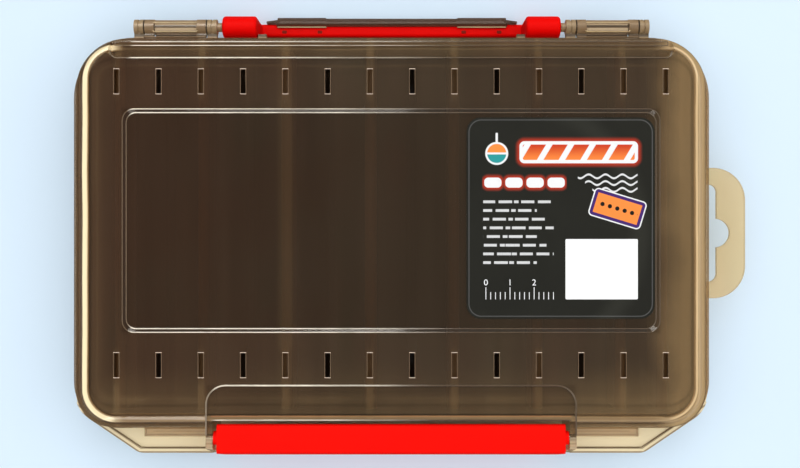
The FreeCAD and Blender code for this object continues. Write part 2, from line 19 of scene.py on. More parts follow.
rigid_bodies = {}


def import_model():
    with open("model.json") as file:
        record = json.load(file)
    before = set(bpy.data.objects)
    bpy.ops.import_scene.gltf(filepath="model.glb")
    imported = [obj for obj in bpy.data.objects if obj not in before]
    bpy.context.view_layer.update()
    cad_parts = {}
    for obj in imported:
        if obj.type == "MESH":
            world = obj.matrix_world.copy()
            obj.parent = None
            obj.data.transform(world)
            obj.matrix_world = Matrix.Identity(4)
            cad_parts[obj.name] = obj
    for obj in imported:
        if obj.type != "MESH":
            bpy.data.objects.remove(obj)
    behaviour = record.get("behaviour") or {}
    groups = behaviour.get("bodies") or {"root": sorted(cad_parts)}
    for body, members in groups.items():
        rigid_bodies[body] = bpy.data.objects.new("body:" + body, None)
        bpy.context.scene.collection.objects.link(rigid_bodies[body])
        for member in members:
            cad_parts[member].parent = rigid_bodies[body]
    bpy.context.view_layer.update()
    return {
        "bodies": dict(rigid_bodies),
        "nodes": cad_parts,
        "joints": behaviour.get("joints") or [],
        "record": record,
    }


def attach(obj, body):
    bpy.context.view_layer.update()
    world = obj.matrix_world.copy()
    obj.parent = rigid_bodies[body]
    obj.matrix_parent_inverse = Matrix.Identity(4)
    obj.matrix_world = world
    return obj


LOG = logging.getLogger("lure_box")
MM = 0.001
BOX_HEIGHT = 50.0

Range = tuple[float, float]
Triple = tuple[float, float, float]
Colour = Triple
BLACK: Colour = (0.0, 0.0, 0.0)


def display(red: float, green: float, blue: float) -> Colour:
    """Turn a colour of 0 to 255, as a screen shows it, into the amounts of light it stands for.

    Args:
        red: Red as shown.
        green: Green as shown.
        blue: Blue as shown.

    Returns:
        The same colour as three amounts of light.
    """
    shares = (value / 255 for value in (red, green, blue))
    return tuple(s / 12.92 if s <= 0.04045 else ((s + 0.055) / 1.055) ** 2.4 for s in shares)


def toned(colour: Colour, *shares: float) -> Colour:
    """Return a colour with each part multiplied by its share, or all by the only one."""
    return tuple(part * share for part, share in zip(colour, shares * (3 // len(shares))))


class Signal:
    """One output of a shader node, on which arithmetic adds Math nodes."""

    def __init__(self, nodes: "Nodes", socket: bpy.types.NodeSocket) -> None:
        """Wrap a socket.

        Args:
            nodes: The tree that the node belongs to.
            socket: The node's output.
        """
        self.nodes = nodes
        self.socket = socket

    def maths(self, operation: str, *values: "Signal | float") -> "Signal":
        """Add one Math node.

        Args:
            operation: The Math node's operation.
            values: Its inputs in order.

        Returns:
            The node's output.
        """
        made = self.nodes.node("ShaderNodeMath", dict(enumerate(values)), operation=operation)
        return Signal(self.nodes, made.outputs[0])

    def __add__(self, other: "Signal | float") -> "Signal":
        """Add."""
        return self.maths("ADD", self, other)

    def __radd__(self, other: float) -> "Signal":
        """Add to a number."""
        return self.maths("ADD", other, self)

    def __sub__(self, other: "Signal | float") -> "Signal":
        """Subtract."""
        return self.maths("SUBTRACT", self, other)

    def __rsub__(self, other: float) -> "Signal":
        """Subtract from a number."""
        return self.maths("SUBTRACT", other, self)

    def __mul__(self, other: "Signal | float") -> "Signal":
        """Multiply."""
        return self.maths("MULTIPLY", self, other)

    def __rmul__(self, other: float) -> "Signal":
        """Multiply a number."""
        return self.maths("MULTIPLY", other, self)

    def __truediv__(self, other: "Signal | float") -> "Signal":
        """Divide."""
        return self.maths("DIVIDE", self, other)

    def __abs__(self) -> "Signal":
        """Drop the sign."""
        return self.maths("ABSOLUTE", self)

    def at_least(self, other: "Signal | float") -> "Signal":
        """Return the larger of the two."""
        return self.maths("MAXIMUM", self, other)

    def at_most(self, other: "Signal | float") -> "Signal":
        """Return the smaller of the two."""
        return self.maths("MINIMUM", self, other)

    def root(self) -> "Signal":
        """Return the square root."""
        return self.maths("SQRT", self)

    def sine(self) -> "Signal":
        """Return the sine of an angle in radians."""
        return self.maths("SINE", self)

    def wrapped(self, step: float) -> "Signal":
        """Return what is left over after whole steps."""
        return self.maths("FLOORED_MODULO", self, step)

    def ramp(self, low: float, high: float) -> "Signal":
        """Rise smoothly from 0 at low to 1 at high, or fall where high is the smaller.

        Args:
            low: Where the result is 0.
            high: Where the result is 1.

        Returns:
            A signal between 0 and 1.
        """
        made = self.nodes.node(
            "ShaderNodeMapRange",
            {"Value": self, "From Min": low, "From Max": high},
            interpolation_type="SMOOTHSTEP",
        )
        return Signal(self.nodes, made.outputs["Result"])


Amount = Signal | float


def diagonal(*parts: Signal) -> Signal:
    """Work out the length of a line from its parts along the axes.

    Args:
        parts: The line's parts.

    Returns:
        The length.
    """
    total = parts[0] * parts[0]
    for part in parts[1:]:
        total = total + part * part
    return total.root()


class Nodes:
    """A tree of shader nodes."""

    def __init__(self, tree: bpy.types.NodeTree) -> None:
        """Take a tree and empty it.

        Args:
            tree: The tree.
        """
        self.tree = tree
        self.tree.nodes.clear()

    def node(
        self, kind: str, sockets: Mapping[str | int, Any] | None = None, **settings: Any
    ) -> bpy.types.Node:
        """Add a node, with its settings made before its sockets are filled.

        Args:
            kind: The node's type.
            sockets: Values, signals or outputs for its inputs.
            settings: The node's own settings; stops are a ramp's places and colours.

        Returns:
            The node.
        """
        made = self.tree.nodes.new(kind)
        stops = settings.pop("stops", ())
        for name, value in settings.items():
            setattr(made, name, value)
        for index, (place, colour) in enumerate(stops):
            points = made.color_ramp.elements
            point = points[index] if index < 2 else points.new(place)
            point.position = place
            point.color = (*colour, 1)
        for key, value in (sockets or {}).items():
            link = value.socket if isinstance(value, Signal) else value
            if isinstance(link, bpy.types.NodeSocket):
                self.tree.links.new(link, made.inputs[key])
            else:
                made.inputs[key].default_value = link
        return made


class Shader(Nodes):
    """The node tree of one material, read in the object's own place in millimetres."""

    def __init__(self, name: str) -> None:
        """Start an empty material.

        Args:
            name: The material's name.
        """
        self.material = bpy.data.materials.new(name)
        self.material.use_nodes = True
        super().__init__(self.material.node_tree)
        self.output = self.node("ShaderNodeOutputMaterial")
        self.place = self.node("ShaderNodeTexCoord").outputs["Object"]
        split = self.node("ShaderNodeSeparateXYZ", {0: self.place})
        self.x, self.y, self.z = (Signal(self, socket) / MM for socket in split.outputs)

    def noise(self, size: float, stretch: Triple = (1, 1, 1), detail: float = 3) -> Signal:
        """Return smooth noise over the surface.

        Args:
            size: The length of its patches in millimetres.
            stretch: How many times longer the patches are along each axis.
            detail: How many finer layers it has.

        Returns:
            A signal around one half.
        """
        scale = tuple(1 / (size * MM * share) for share in stretch)
        mapped = self.node("ShaderNodeMapping", {"Vector": self.place, "Scale": scale})
        made = self.node(
            "ShaderNodeTexNoise", {"Vector": mapped.outputs[0], "Scale": 1.0, "Detail": detail}
        )
        return Signal(self, made.outputs[0])

    def mix(self, share: Amount, first: Any, second: Any) -> bpy.types.NodeSocket:
        """Mix two colours.

        Args:
            share: How much of the second colour shows.
            first: A colour or a colour output.
            second: A colour or a colour output.

        Returns:
            The mixed colour's output.
        """
        sides = [(*side, 1) if isinstance(side, tuple) else side for side in (first, second)]
        made = self.node("ShaderNodeMix", {0: share, 6: sides[0], 7: sides[1]}, data_type="RGBA")
        return made.outputs[2]

    def bump(self, height: Signal, depth: float) -> bpy.types.NodeSocket:
        """Return the normal of a surface with small heights.

        Args:
            height: The height as a share of the depth.
            depth: The depth of the relief in millimetres.

        Returns:
            The normal's output.
        """
        return self.node("ShaderNodeBump", {"Height": height, "Distance": depth * MM}).outputs[0]

    def facing(self, blend: float) -> Signal:
        """Return 0 where the surface faces the eye, rising to 1 where it is seen edge on."""
        made = self.node("ShaderNodeLayerWeight", {"Blend": blend})
        return Signal(self, made.outputs["Facing"])

    def solid(self, **sockets: Any) -> bpy.types.NodeSocket:
        """Return a Principled shader.

        Args:
            sockets: Its inputs, whose names use _ for spaces.

        Returns:
            The shader's output.
        """
        named = {key.replace("_", " "): value for key, value in sockets.items()}
        named = {
            key: (*value, 1) if isinstance(value, tuple) and "Color" in key else value
            for key, value in named.items()
        }
        return self.node("ShaderNodeBsdfPrincipled", named).outputs[0]

    def clear(self, tint: Colour) -> bpy.types.NodeSocket:
        """Return a shader that shows what is behind it through a tint."""
        return self.node("ShaderNodeBsdfTransparent", {0: (*tint, 1)}).outputs[0]

    def blend(self, share: Amount, first: Any, second: Any) -> bpy.types.NodeSocket:
        """Mix two shaders."""
        return self.node("ShaderNodeMixShader", {0: share, 1: first, 2: second}).outputs[0]

    def finished(self, surface: bpy.types.NodeSocket) -> bpy.types.Material:
        """Send a shader to the output and return the material."""
        self.tree.links.new(surface, self.output.inputs["Surface"])
        return self.material


class Layers:
    """Colours that are laid one over another."""

    def __init__(self, shader: Shader, colour: Any) -> None:
        """Start with the lowest colour.

        Args:
            shader: The shader that is being built.
            colour: A colour or a colour output.
        """
        self.shader = shader
        self.colour = colour

    def lay(self, share: Amount, colour: Any) -> None:
        """Lay a colour over what is there."""
        self.colour = self.shader.mix(share, self.colour, colour)


@dataclass(frozen=True)
class Band:
    """A strip across one direction, in millimetres.

    Attributes:
        middle: Where its middle is.
        none: How far from the middle it is 0.
        full: How far from the middle it is 1.
    """

    middle: float
    none: float
    full: float

    def on(self, place: Signal) -> Signal:
        """Return how much of the band shows at a place."""
        return abs(place - self.middle).ramp(self.none, self.full)


@dataclass(frozen=True)
class Patch:
    """A rectangle with round corners, in millimetres.

    Attributes:
        sides: Its left and right edges.
        ends: Its front and rear edges.
        radius: Its corner radius.
    """

    sides: Range
    ends: Range
    radius: float = 0.0

    def distance(self, across: Signal, up: Signal) -> Signal:
        """Return how far a place is outside the patch.

        Args:
            across: The place from left to right.
            up: The place from front to rear.

        Returns:
            A distance in millimetres, negative inside.
        """
        out_x, out_y = (
            abs(place - (low + high) / 2) - ((high - low) / 2 - self.radius)
            for place, (low, high) in ((across, self.sides), (up, self.ends))
        )
        corner = diagonal(out_x.at_least(0.0), out_y.at_least(0.0))
        return corner + out_x.at_least(out_y).at_most(0.0) - self.radius

    def moved(self, across: float, up: float) -> "Patch":
        """Return the same rectangle further to the right and to the rear.

        Args:
            across: How far to the right.
            up: How far to the rear.

        Returns:
            The moved rectangle.
        """
        (left, right), (front, rear) = self.sides, self.ends
        return Patch((left + across, right + across), (front + up, rear + up), self.radius)


@dataclass(frozen=True)
class Hinges:
    """The knuckles on the hinge line, in millimetres.

    Attributes:
        colour: The haze's colour on them.
        bar_colour: The colour of the painted highlights on the bars.
        start: Where they begin.
        opening: The barrels' openings, from the middle of the box.
        ends: The barrels' ends, from the middle of an opening, where shade is painted.
        gap: The shaded gap in front of them.
        shade: The shaded line in an opening.
        bars: The pale bars in an opening, which are painted highlights.
        bar_share: How strongly the painted highlights show.
        gap_share: How dark the shade is.
    """

    colour: Colour
    bar_colour: Colour
    start: Range = (90.0, 90.8)
    opening: Band = Band(94.0, 9.4, 8.9)
    ends: Band = Band(13.6, 0.5, 0.2)
    gap: Band = Band(91.6, 0.9, 0.3)
    shade: Band = Band(95.4, 0.75, 0.3)
    bars: tuple[Band, Band] = (Band(93.8, 1.0, 0.5), Band(96.5, 0.6, 0.3))
    bar_share: float = 0.75
    gap_share: float = 0.7

    def share(self, shader: Shader) -> Signal:
        """Return 1 on the knuckles and 0 elsewhere."""
        return shader.y.ramp(*self.start)

    def painted(self, shader: Shader) -> bpy.types.NodeSocket:
        """Return the knuckles' colour.

        Args:
            shader: The shader that is being built.

        Returns:
            The colour's output, with painted highlights and painted shade.
        """
        across = abs(shader.x)
        opening = self.opening.on(across)
        near, far = (bar.on(shader.y) for bar in self.bars)
        ends = self.ends.on(abs(across - self.opening.middle))
        # Painted shade in the gap, on a line in each opening and at the barrels' ends.
        dark = (self.shade.on(shader.y) * opening).at_least(ends).at_least(self.gap.on(shader.y))
        layers = Layers(shader, self.colour)
        # Painted highlights on the bars in each opening, then the painted shade.
        layers.lay(near.at_least(far) * opening * self.bar_share, self.bar_colour)
        layers.lay(dark * self.gap_share, BLACK)
        return layers.colour


class Edge(Protocol):
    """A part of a moulding that is one thin layer, which light gets through."""

    def thin(self, shader: Shader) -> Signal:
        """Return 1 on the thin part and 0 elsewhere."""

    def lines(self, shader: Shader) -> Amount:
        """Return how strongly dark lines show along the part."""


@dataclass(frozen=True)
class LidLip:
    """The lip in front of a lid, in millimetres.

    Attributes:
        start: Where the lip begins.
        ends: The dark lines at its ends, from the middle of the box.
        front: The dark line along its front.
        middle: The fine line behind that one.
        middle_length: Where the fine line ends.
        strength: How dark the lines are.
    """

    start: Range = (-79.1, -79.6)
    ends: Band = Band(106.4, 0.6, 0.25)
    front: Band = Band(-82.0, 0.55, 0.2)
    middle: Band = Band(-80.4, 0.3, 0.1)
    middle_length: Range = (104.0, 103.0)
    strength: float = 0.6

    def thin(self, shader: Shader) -> Signal:
        """Return 1 on the lip and 0 elsewhere."""
        return shader.y.ramp(*self.start)

    def lines(self, shader: Shader) -> Signal:
        """Return how strongly the dark lines show.

        Args:
            shader: The shader that is being built.

        Returns:
            The lines' strength.
        """
        across = abs(shader.x)
        middle = self.middle.on(shader.y) * across.ramp(*self.middle_length)
        line = self.ends.on(across).at_least(self.front.on(shader.y)).at_least(middle)
        return line * self.thin(shader) * self.strength


@dataclass(frozen=True)
class TrayLedge:
    """The ledge round the tray, in millimetres.

    Attributes:
        side: Where it begins at the sides.
        rear: Where it begins behind.
        front: Where it begins in front.
        corner: Where its side turns into the slant at a front corner.
        turn: The slant's direction.
        front_edge: Where its front edge is.
        edge_lines: The dark lines, from its edge inwards.
        strength: How dark they are.
    """

    side: Range = (129.0, 130.4)
    rear: Range = (82.6, 84.0)
    front: Range = (-69.6, -70.8)
    corner: Range = (137.5, -71.0)
    turn: Range = (0.5615, 0.8274)
    front_edge: float = -90.0
    edge_lines: tuple[Band, Band] = (Band(-0.35, 0.50, 0.2), Band(-2.1, 0.45, 0.2))
    strength: float = 0.8

    def thin(self, shader: Shader) -> Signal:
        """Return 1 on the ledge and 0 elsewhere."""
        side = abs(shader.x).ramp(*self.side)
        return side.at_least(shader.y.ramp(*self.rear)).at_least(shader.y.ramp(*self.front))

    def lines(self, shader: Shader) -> Signal:
        """Return how strongly the dark lines show.

        Args:
            shader: The shader that is being built.

        Returns:
            The lines' strength.
        """
        out_x = (abs(shader.x) - self.corner[0]) * self.turn[0]
        out_y = (shader.y - self.corner[1]) * self.turn[1]
        edge = (out_x - out_y).at_least(self.front_edge - shader.y)
        outer, inner = (line.on(edge) for line in self.edge_lines)
        return outer.at_least(inner) * self.strength


@dataclass(frozen=True)
class SlotEnds:
    """The ends of the rims of the slots, painted paler as highlights, in millimetres.

    Attributes:
        middle: Half way between the two rows.
        row: How far from there a row is.
        half: Half of a slot's length.
    """

    middle: float = 9.45
    row: float = 58.75
    half: Range = (4.95, 5.1)

    def thin(self, shader: Shader) -> Signal:
        """Return 1 on the ends and 0 elsewhere."""
        return abs(abs(shader.y - self.middle) - self.row).ramp(*self.half)

    def lines(self, shader: Shader) -> float:
        """Return nothing, since they have no lines."""
        return 0.0


@dataclass(frozen=True)
class LidLight:
    """Light and shade painted on a lid, from its sides and over what is under it, in millimetres.

    Attributes:
        colour: The colour of the lit haze.
        bay_colour: The dark red of the painted shade over the latch's bay.
        outline: The lid's outline.
        right: Where the light from the right comes in.
        right_share: How strong it is.
        left: Where the light from the left comes in.
        left_share: How strong it is.
        front: Where the light from the front comes in.
        front_share: How strong it is at the left.
        front_growth: Where it grows along the front.
        front_more: How much it grows.
        rear: Where the rear shelf is lit.
        rear_share: How strong its light is.
        wander: How far soft edges wander: the lit areas, the front's and the lines in the wall.
        wall_lines: Lines in the wall as distance from the outline, half width and strength,
            which is negative where the line is dark.
        line_core: The share of a line's half width where it is whole.
        dividers: The first divider's place and the distance between them.
        divider_width: Where a divider's edge fades.
        divider_shares: How strongly it shows, and how much more over the bay and the shelf.
        past_window: The deck in front of and behind the window.
        bay_start: Where the bay begins.
        shelf_start: Where the shelf begins.
        bright_divider: The divider whose painted light band shows most.
        bright_shares: How strongly it shows, and how much less past the window.
        cove: The lit foot of the front wall.
        cove_size: The length of its patches, and how far they are stretched along the wall.
        cove_patch: Which of them are lit.
        cove_share: How strong its light is.
        bay_side: Where the bay ends at the sides.
        bay_rear: Where it ends behind.
        bay_share: How strongly its painted shade shows.
        window_side: Where the window ends at the sides.
        window_depth: Where it ends in front and behind.
        window_share: How much painted shade darkens it.
    """

    colour: Colour
    bay_colour: Colour = (0.02, 0.0, 0.0)
    outline: Patch = Patch((-134.0, 134.0), (-75.5, 87.0), 19.0)
    right: Range = (104.0, 125.0)
    right_share: float = 1.2
    left: Range = (-112.0, -126.0)
    left_share: float = 0.12
    front: Range = (-46.0, -74.0)
    front_share: float = 0.36
    front_growth: Range = (20.0, 120.0)
    front_more: float = 0.34
    rear: Range = (78.0, 79.0)
    rear_share: float = 0.2
    wander: Triple = (20.0, 15.0, 1.6)
    wall_lines: tuple[Triple, ...] = (
        (3.1, 0.5, 0.30),
        (3.9, 0.45, -0.30),
        (4.8, 0.5, 0.34),
        (9.4, 0.9, -0.22),
        (12.2, 0.7, 0.09),
        (15.0, 0.6, -0.08),
    )
    line_core: float = 0.25
    dividers: Range = (-113.75, 35.0)
    divider_width: Range = (1.9, 0.9)
    divider_shares: Range = (0.13, 0.2)
    past_window: Band = Band(9.45, 50.0, 54.0)
    bay_start: Range = (-56.0, -59.0)
    shelf_start: Range = (77.0, 78.5)
    bright_divider: Band = Band(-43.9, 4.4, 1.6)
    bright_shares: Range = (0.15, 0.07)
    cove: Band = Band(-64.2, 3.2, 0.4)
    cove_size: Range = (14.0, 1.6)
    cove_patch: Range = (0.42, 0.66)
    cove_share: float = 0.22
    bay_side: Range = (77.0, 76.0)
    bay_rear: Range = (-57.0, -58.0)
    bay_share: float = 0.24
    window_side: Range = (112.0, 111.0)
    window_depth: Band = Band(10.55, 47.0, 46.0)
    window_share: float = 0.3

    def lay(self, layers: Layers, clouds: Signal) -> None:
        """Lay everything over the lid's colour.

        Args:
            layers: The lid's colour so far.
            clouds: Slow noise that makes edges wander.
        """
        self.lay_edges(layers, clouds - 0.5)
        self.lay_wall(layers, clouds - 0.5)
        self.lay_divider_light(layers)
        self.lay_recesses(layers)

    def lay_edges(self, layers: Layers, drift: Signal) -> None:
        """Lay the light along the lid's sides.

        Args:
            layers: The lid's colour so far.
            drift: Slow noise around 0.
        """
        x, y = layers.shader.x, layers.shader.y
        wandered = x + drift * self.wander[0]
        right = (wandered.ramp(*self.right) * self.right_share).at_most(1.0)
        left = wandered.ramp(*self.left) * self.left_share
        grown = self.front_share + x.ramp(*self.front_growth) * self.front_more
        front = (y + drift * self.wander[1]).ramp(*self.front) * grown
        rear = y.ramp(*self.rear) * self.rear_share
        layers.lay(right.at_least(left).at_least(front).at_least(rear), self.colour)

    def lay_wall(self, layers: Layers, drift: Signal) -> None:
        """Lay the painted light and painted shade lines in the wall.

        Args:
            layers: The lid's colour so far.
            drift: Slow noise around 0.
        """
        outside = self.outline.distance(layers.shader.x, layers.shader.y) + drift * self.wander[2]
        for inwards, width, strength in self.wall_lines:
            line = Band(-inwards, width, width * self.line_core).on(outside)
            layers.lay(line * abs(strength), self.colour if strength > 0 else BLACK)

    def lay_divider_light(self, layers: Layers) -> None:
        """Lay painted light bands on the deck over the dividers under it.

        Args:
            layers: The lid's colour so far.
        """
        x, y = layers.shader.x, layers.shader.y
        first, pitch = self.dividers
        beside = abs((x - first + pitch / 2).wrapped(pitch) - pitch / 2)
        past_window = self.past_window.on(y)
        stepped = y.ramp(*self.bay_start).at_least(y.ramp(*self.shelf_start))
        share = self.divider_shares[0] + stepped * self.divider_shares[1]
        layers.lay(beside.ramp(*self.divider_width) * past_window * share, self.colour)
        share = self.bright_shares[0] - past_window * self.bright_shares[1]
        layers.lay(self.bright_divider.on(x) * share, self.colour)

    def lay_recesses(self, layers: Layers) -> None:
        """Lay the cove's light and the shade of the bay and the window.

        Args:
            layers: The lid's colour so far.
        """
        x, y = layers.shader.x, layers.shader.y
        size, stretch = self.cove_size
        patches = layers.shader.noise(size, (stretch, 1, 1), 2).ramp(*self.cove_patch)
        layers.lay(self.cove.on(y) * patches * self.cove_share, self.colour)
        # Painted shade, dark red over the bay and black over the window.
        bay = abs(x).ramp(*self.bay_side) * y.ramp(*self.bay_rear)
        layers.lay(bay * self.bay_share, self.bay_colour)
        window = abs(x).ramp(*self.window_side) * self.window_depth.on(y)
        layers.lay(window * self.window_share, BLACK)


@dataclass(frozen=True)
class Shoulder:
    """The painted highlight that runs round a lid's rounded shoulder, in millimetres.

    Attributes:
        course: The line's course.
        wander: How far it wanders.
        width: Where the line ends and where it is whole.
        narrowing: How much narrower it is on the right.
        left: Where its left side begins.
        right: Where its right side begins.
        front: Where its front begins.
        shares: Its strength on the right, in front and on the strip outside it.
        strip: The inner edge of the paler strip of painted light outside it on the right.
        strip_end: The strip's outer edge.
        cream: Its colour on the left.
        tan: Its colour in front.
        bright_tan: Its colour on the right.
        strip_tan: The colour of the strip outside it.
        dark: The colour of the thin lines of painted shade.
        dark_lines: The lines of painted shade inside it, outside it and at the rim.
        dark_shares: How dark these three are.
        dark_right: How much of the first two shows on the right.
    """

    course: Patch = Patch((-126.8, 126.6), (-71.8, 82.7), 13.0)
    wander: float = 1.2
    width: Range = (1.35, 0.8)
    narrowing: float = 0.55
    left: Range = (-110.0, -117.0)
    right: Range = (108.0, 119.0)
    front: Range = (-64.0, -70.0)
    shares: Triple = (0.9, 0.62, 0.62)
    strip: Range = (0.3, 1.0)
    strip_end: Range = (5.2, 2.6)
    cream: Colour = display(250, 229, 184)
    tan: Colour = display(164, 134, 94)
    bright_tan: Colour = display(228, 196, 148)
    strip_tan: Colour = display(196, 164, 116)
    dark: Colour = (0.01, 0.007, 0.005)
    dark_lines: tuple[Band, ...] = (
        Band(-1.75, 0.6, 0.2),
        Band(1.75, 0.7, 0.2),
        Band(4.6, 0.8, 0.3),
    )
    dark_shares: Triple = (0.5, 0.6, 0.45)
    dark_right: float = 0.4

    def lay(self, layers: Layers, clouds: Signal) -> Signal:
        """Lay the painted highlight and its lines of painted shade over the lid's colour.

        Args:
            layers: The lid's colour so far.
            clouds: Slow noise that makes the line's width uneven.

        Returns:
            How strongly the painted highlight shows.
        """
        shader = layers.shader
        edge = self.course.distance(shader.x, shader.y)
        left, right = shader.x.ramp(*self.left), shader.x.ramp(*self.right)
        front = shader.y.ramp(*self.front)
        # Thin lines of painted shade beside the highlight and at the rim.
        inner, outer, rim = (
            line.on(edge) * share for line, share in zip(self.dark_lines, self.dark_shares)
        )
        around = left.at_least(front).at_least(right * self.dark_right)
        dark = (inner.at_least(outer) * around).at_least(rim * left.at_least(right))
        layers.lay(dark, self.dark)

        # The painted highlight, with a paler strip of painted light outside it on the right.
        uneven = abs(edge + (clouds - 0.5) * self.wander)
        line = (uneven + right * self.narrowing).ramp(*self.width)
        strip = edge.ramp(*self.strip) * edge.ramp(*self.strip_end) * right
        on_right, in_front, on_strip = self.shares
        side = left.at_least(right * on_right).at_least(front * in_front)
        strength = (line * side).at_least(strip * on_strip)
        bright = Layers(shader, shader.mix(left, self.tan, self.cream))
        bright.lay(right, self.bright_tan)
        bright.lay(strip, self.strip_tan)
        layers.lay(strength, bright.colour)
        return strength


@dataclass(frozen=True)
class BeadEnd:
    """Where shade is painted on a bead along the -X end of the window or bay, in millimetres.

    Attributes:
        colour: The colour of the painted shade.
        window: Where it begins at the window.
        bay: Where it begins at the bay.
        bay_rear: Where the bay begins.
        bay_share: How strongly it shows at the bay.
    """

    colour: Colour
    window: Range = (-107.0, -109.4)
    bay: Range = (-71.5, -75.0)
    bay_rear: Range = (-55.0, -57.0)
    bay_share: float = 0.85

    def lay(self, layers: Layers) -> None:
        """Lay the painted shade over the bead's own colour.

        Args:
            layers: The bead's colour so far.
        """
        x, y = layers.shader.x, layers.shader.y
        bay = x.ramp(*self.bay) * y.ramp(*self.bay_rear) * self.bay_share
        layers.lay(x.ramp(*self.window).at_least(bay), self.colour)


@dataclass(frozen=True)
class Look:
    """What smoke plastic shows under its gloss.

    Attributes:
        body: The haze's colour.
        haze: How much the haze hides.
        seen: What is seen through it.
        knuckles: 1 on hinge knuckles, which shine less.
    """

    body: bpy.types.NodeSocket
    haze: Amount
    seen: bpy.types.NodeSocket
    knuckles: Amount = 0.0


CLOUD_SIZE = 45.0
DRIFT = 100.0
TONE_SIZE = 26.0
TONE_STRETCH = (1.0, 2.4, 1.0)
TONE_SHARE = 0.45
TONES = (((0.5, 0.8), (0.86, 1.0, 0.9)), ((0.5, 0.25), (1.05, 0.86, 0.86)))
STREAK_SIZE = 9.0
STREAK_STRETCH = (1.0, 14.0, 2.0)
STREAK_CONTRAST = 0.5
STREAK_SHADE = 0.1
SCUFF_SIZE = 2.2
SCUFF_STRETCH = (1.0, 9.0, 1.0)
SCUFF_RANGE = (0.66, 0.8)
SCUFF_ROUGHNESS = 0.12
RELIEF_SIZE = 60.0
RELIEF_STRETCH = (1.0, 2.0, 1.0)
UNEVENNESS = 0.05
KNUCKLE_ROUGHNESS = 0.2
KNUCKLE_HAZE = 0.8
SHOULDER_HAZE = 0.62
LINE_HAZE = 0.3
LINE_BROWN = display(112, 86, 60)
SHINE = 0.8
COAT = 0.6
COAT_SPREAD = 0.6
EDGE_ON = 0.35


@dataclass(frozen=True, kw_only=True)
class SmokePlastic:
    """Clear brown smoke plastic with a moulded gloss.

    Attributes:
        name: The material's name.
        warm: The haze's colour at the -X end.
        cool: The haze's colour at the +X end.
        deep: What one face lets through.
        haze: The share of the haze on one face.
        rim: How much more haze a face shows edge on.
        roughness: How far its gloss is spread.
        ripple: The depth of its waviness in millimetres.
        gloss: How strongly it shines.
        fade: Where along X its colour turns from warm to cool, in millimetres.
        end: The painted shade at its -X end, if it has one.
    """

    name: str
    warm: Colour
    cool: Colour
    deep: Colour = (0.80, 0.69, 0.58)
    haze: float
    rim: float = 0.1
    roughness: float
    ripple: float = 0.0
    gloss: float = 1.0
    fade: Range = (-110.0, 20.0)
    end: BeadEnd | None = None

    def pigment(self, shader: Shader, clouds: Signal) -> Layers:
        """Return the haze's colour, with slow changes of tone.

        Args:
            shader: The shader that is being built.
            clouds: Slow noise that shifts the border between warm and cool.

        Returns:
            The colour, ready for more layers.
        """
        across = shader.x + (clouds - 0.5) * DRIFT
        layers = Layers(shader, shader.mix(across.ramp(*self.fade), self.warm, self.cool))
        tone = shader.noise(TONE_SIZE, TONE_STRETCH, 2)
        for reach, shares in TONES:
            layers.lay(tone.ramp(*reach) * TONE_SHARE, toned(self.cool, *shares))
        # Painted shade at a bead's -X end.
        if self.end is not None:
            self.end.lay(layers)
        return layers

    @staticmethod
    def streak(layers: Layers) -> None:
        """Lay dark streaks of flow over a colour."""
        streaks = layers.shader.noise(STREAK_SIZE, STREAK_STRETCH, 2)
        layers.lay((streaks - 0.5) * STREAK_CONTRAST + STREAK_SHADE, BLACK)

    def look(self, shader: Shader, clouds: Signal) -> Look:
        """Return what the plastic shows under its gloss.

        Args:
            shader: The shader that is being built.
            clouds: Slow noise.

        Returns:
            The look.
        """
        layers = self.pigment(shader, clouds)
        self.streak(layers)
        return Look(layers.colour, self.haze, shader.clear(self.deep))

    def material(self) -> bpy.types.Material:
        """Build the material.

        Returns:
            The material.
        """
        shader = Shader(self.name)
        clouds = shader.noise(CLOUD_SIZE)
        uneven = (clouds - 0.5) * UNEVENNESS
        scuffs = shader.noise(SCUFF_SIZE, SCUFF_STRETCH, 4).ramp(*SCUFF_RANGE)
        look = self.look(shader, clouds)
        rough = self.roughness + scuffs * SCUFF_ROUGHNESS + uneven
        surface = shader.solid(
            Base_Color=look.body,
            Roughness=rough + look.knuckles * KNUCKLE_ROUGHNESS,
            Specular_IOR_Level=SHINE * self.gloss,
            Coat_Weight=(1 - look.knuckles) * COAT * self.gloss,
            Coat_Roughness=self.roughness * COAT_SPREAD,
            Normal=shader.bump(shader.noise(RELIEF_SIZE, RELIEF_STRETCH, 0), self.ripple),
        )
        share = look.haze + shader.facing(EDGE_ON) * self.rim + uneven
        return shader.finished(shader.blend(share.at_most(1.0), look.seen, surface))


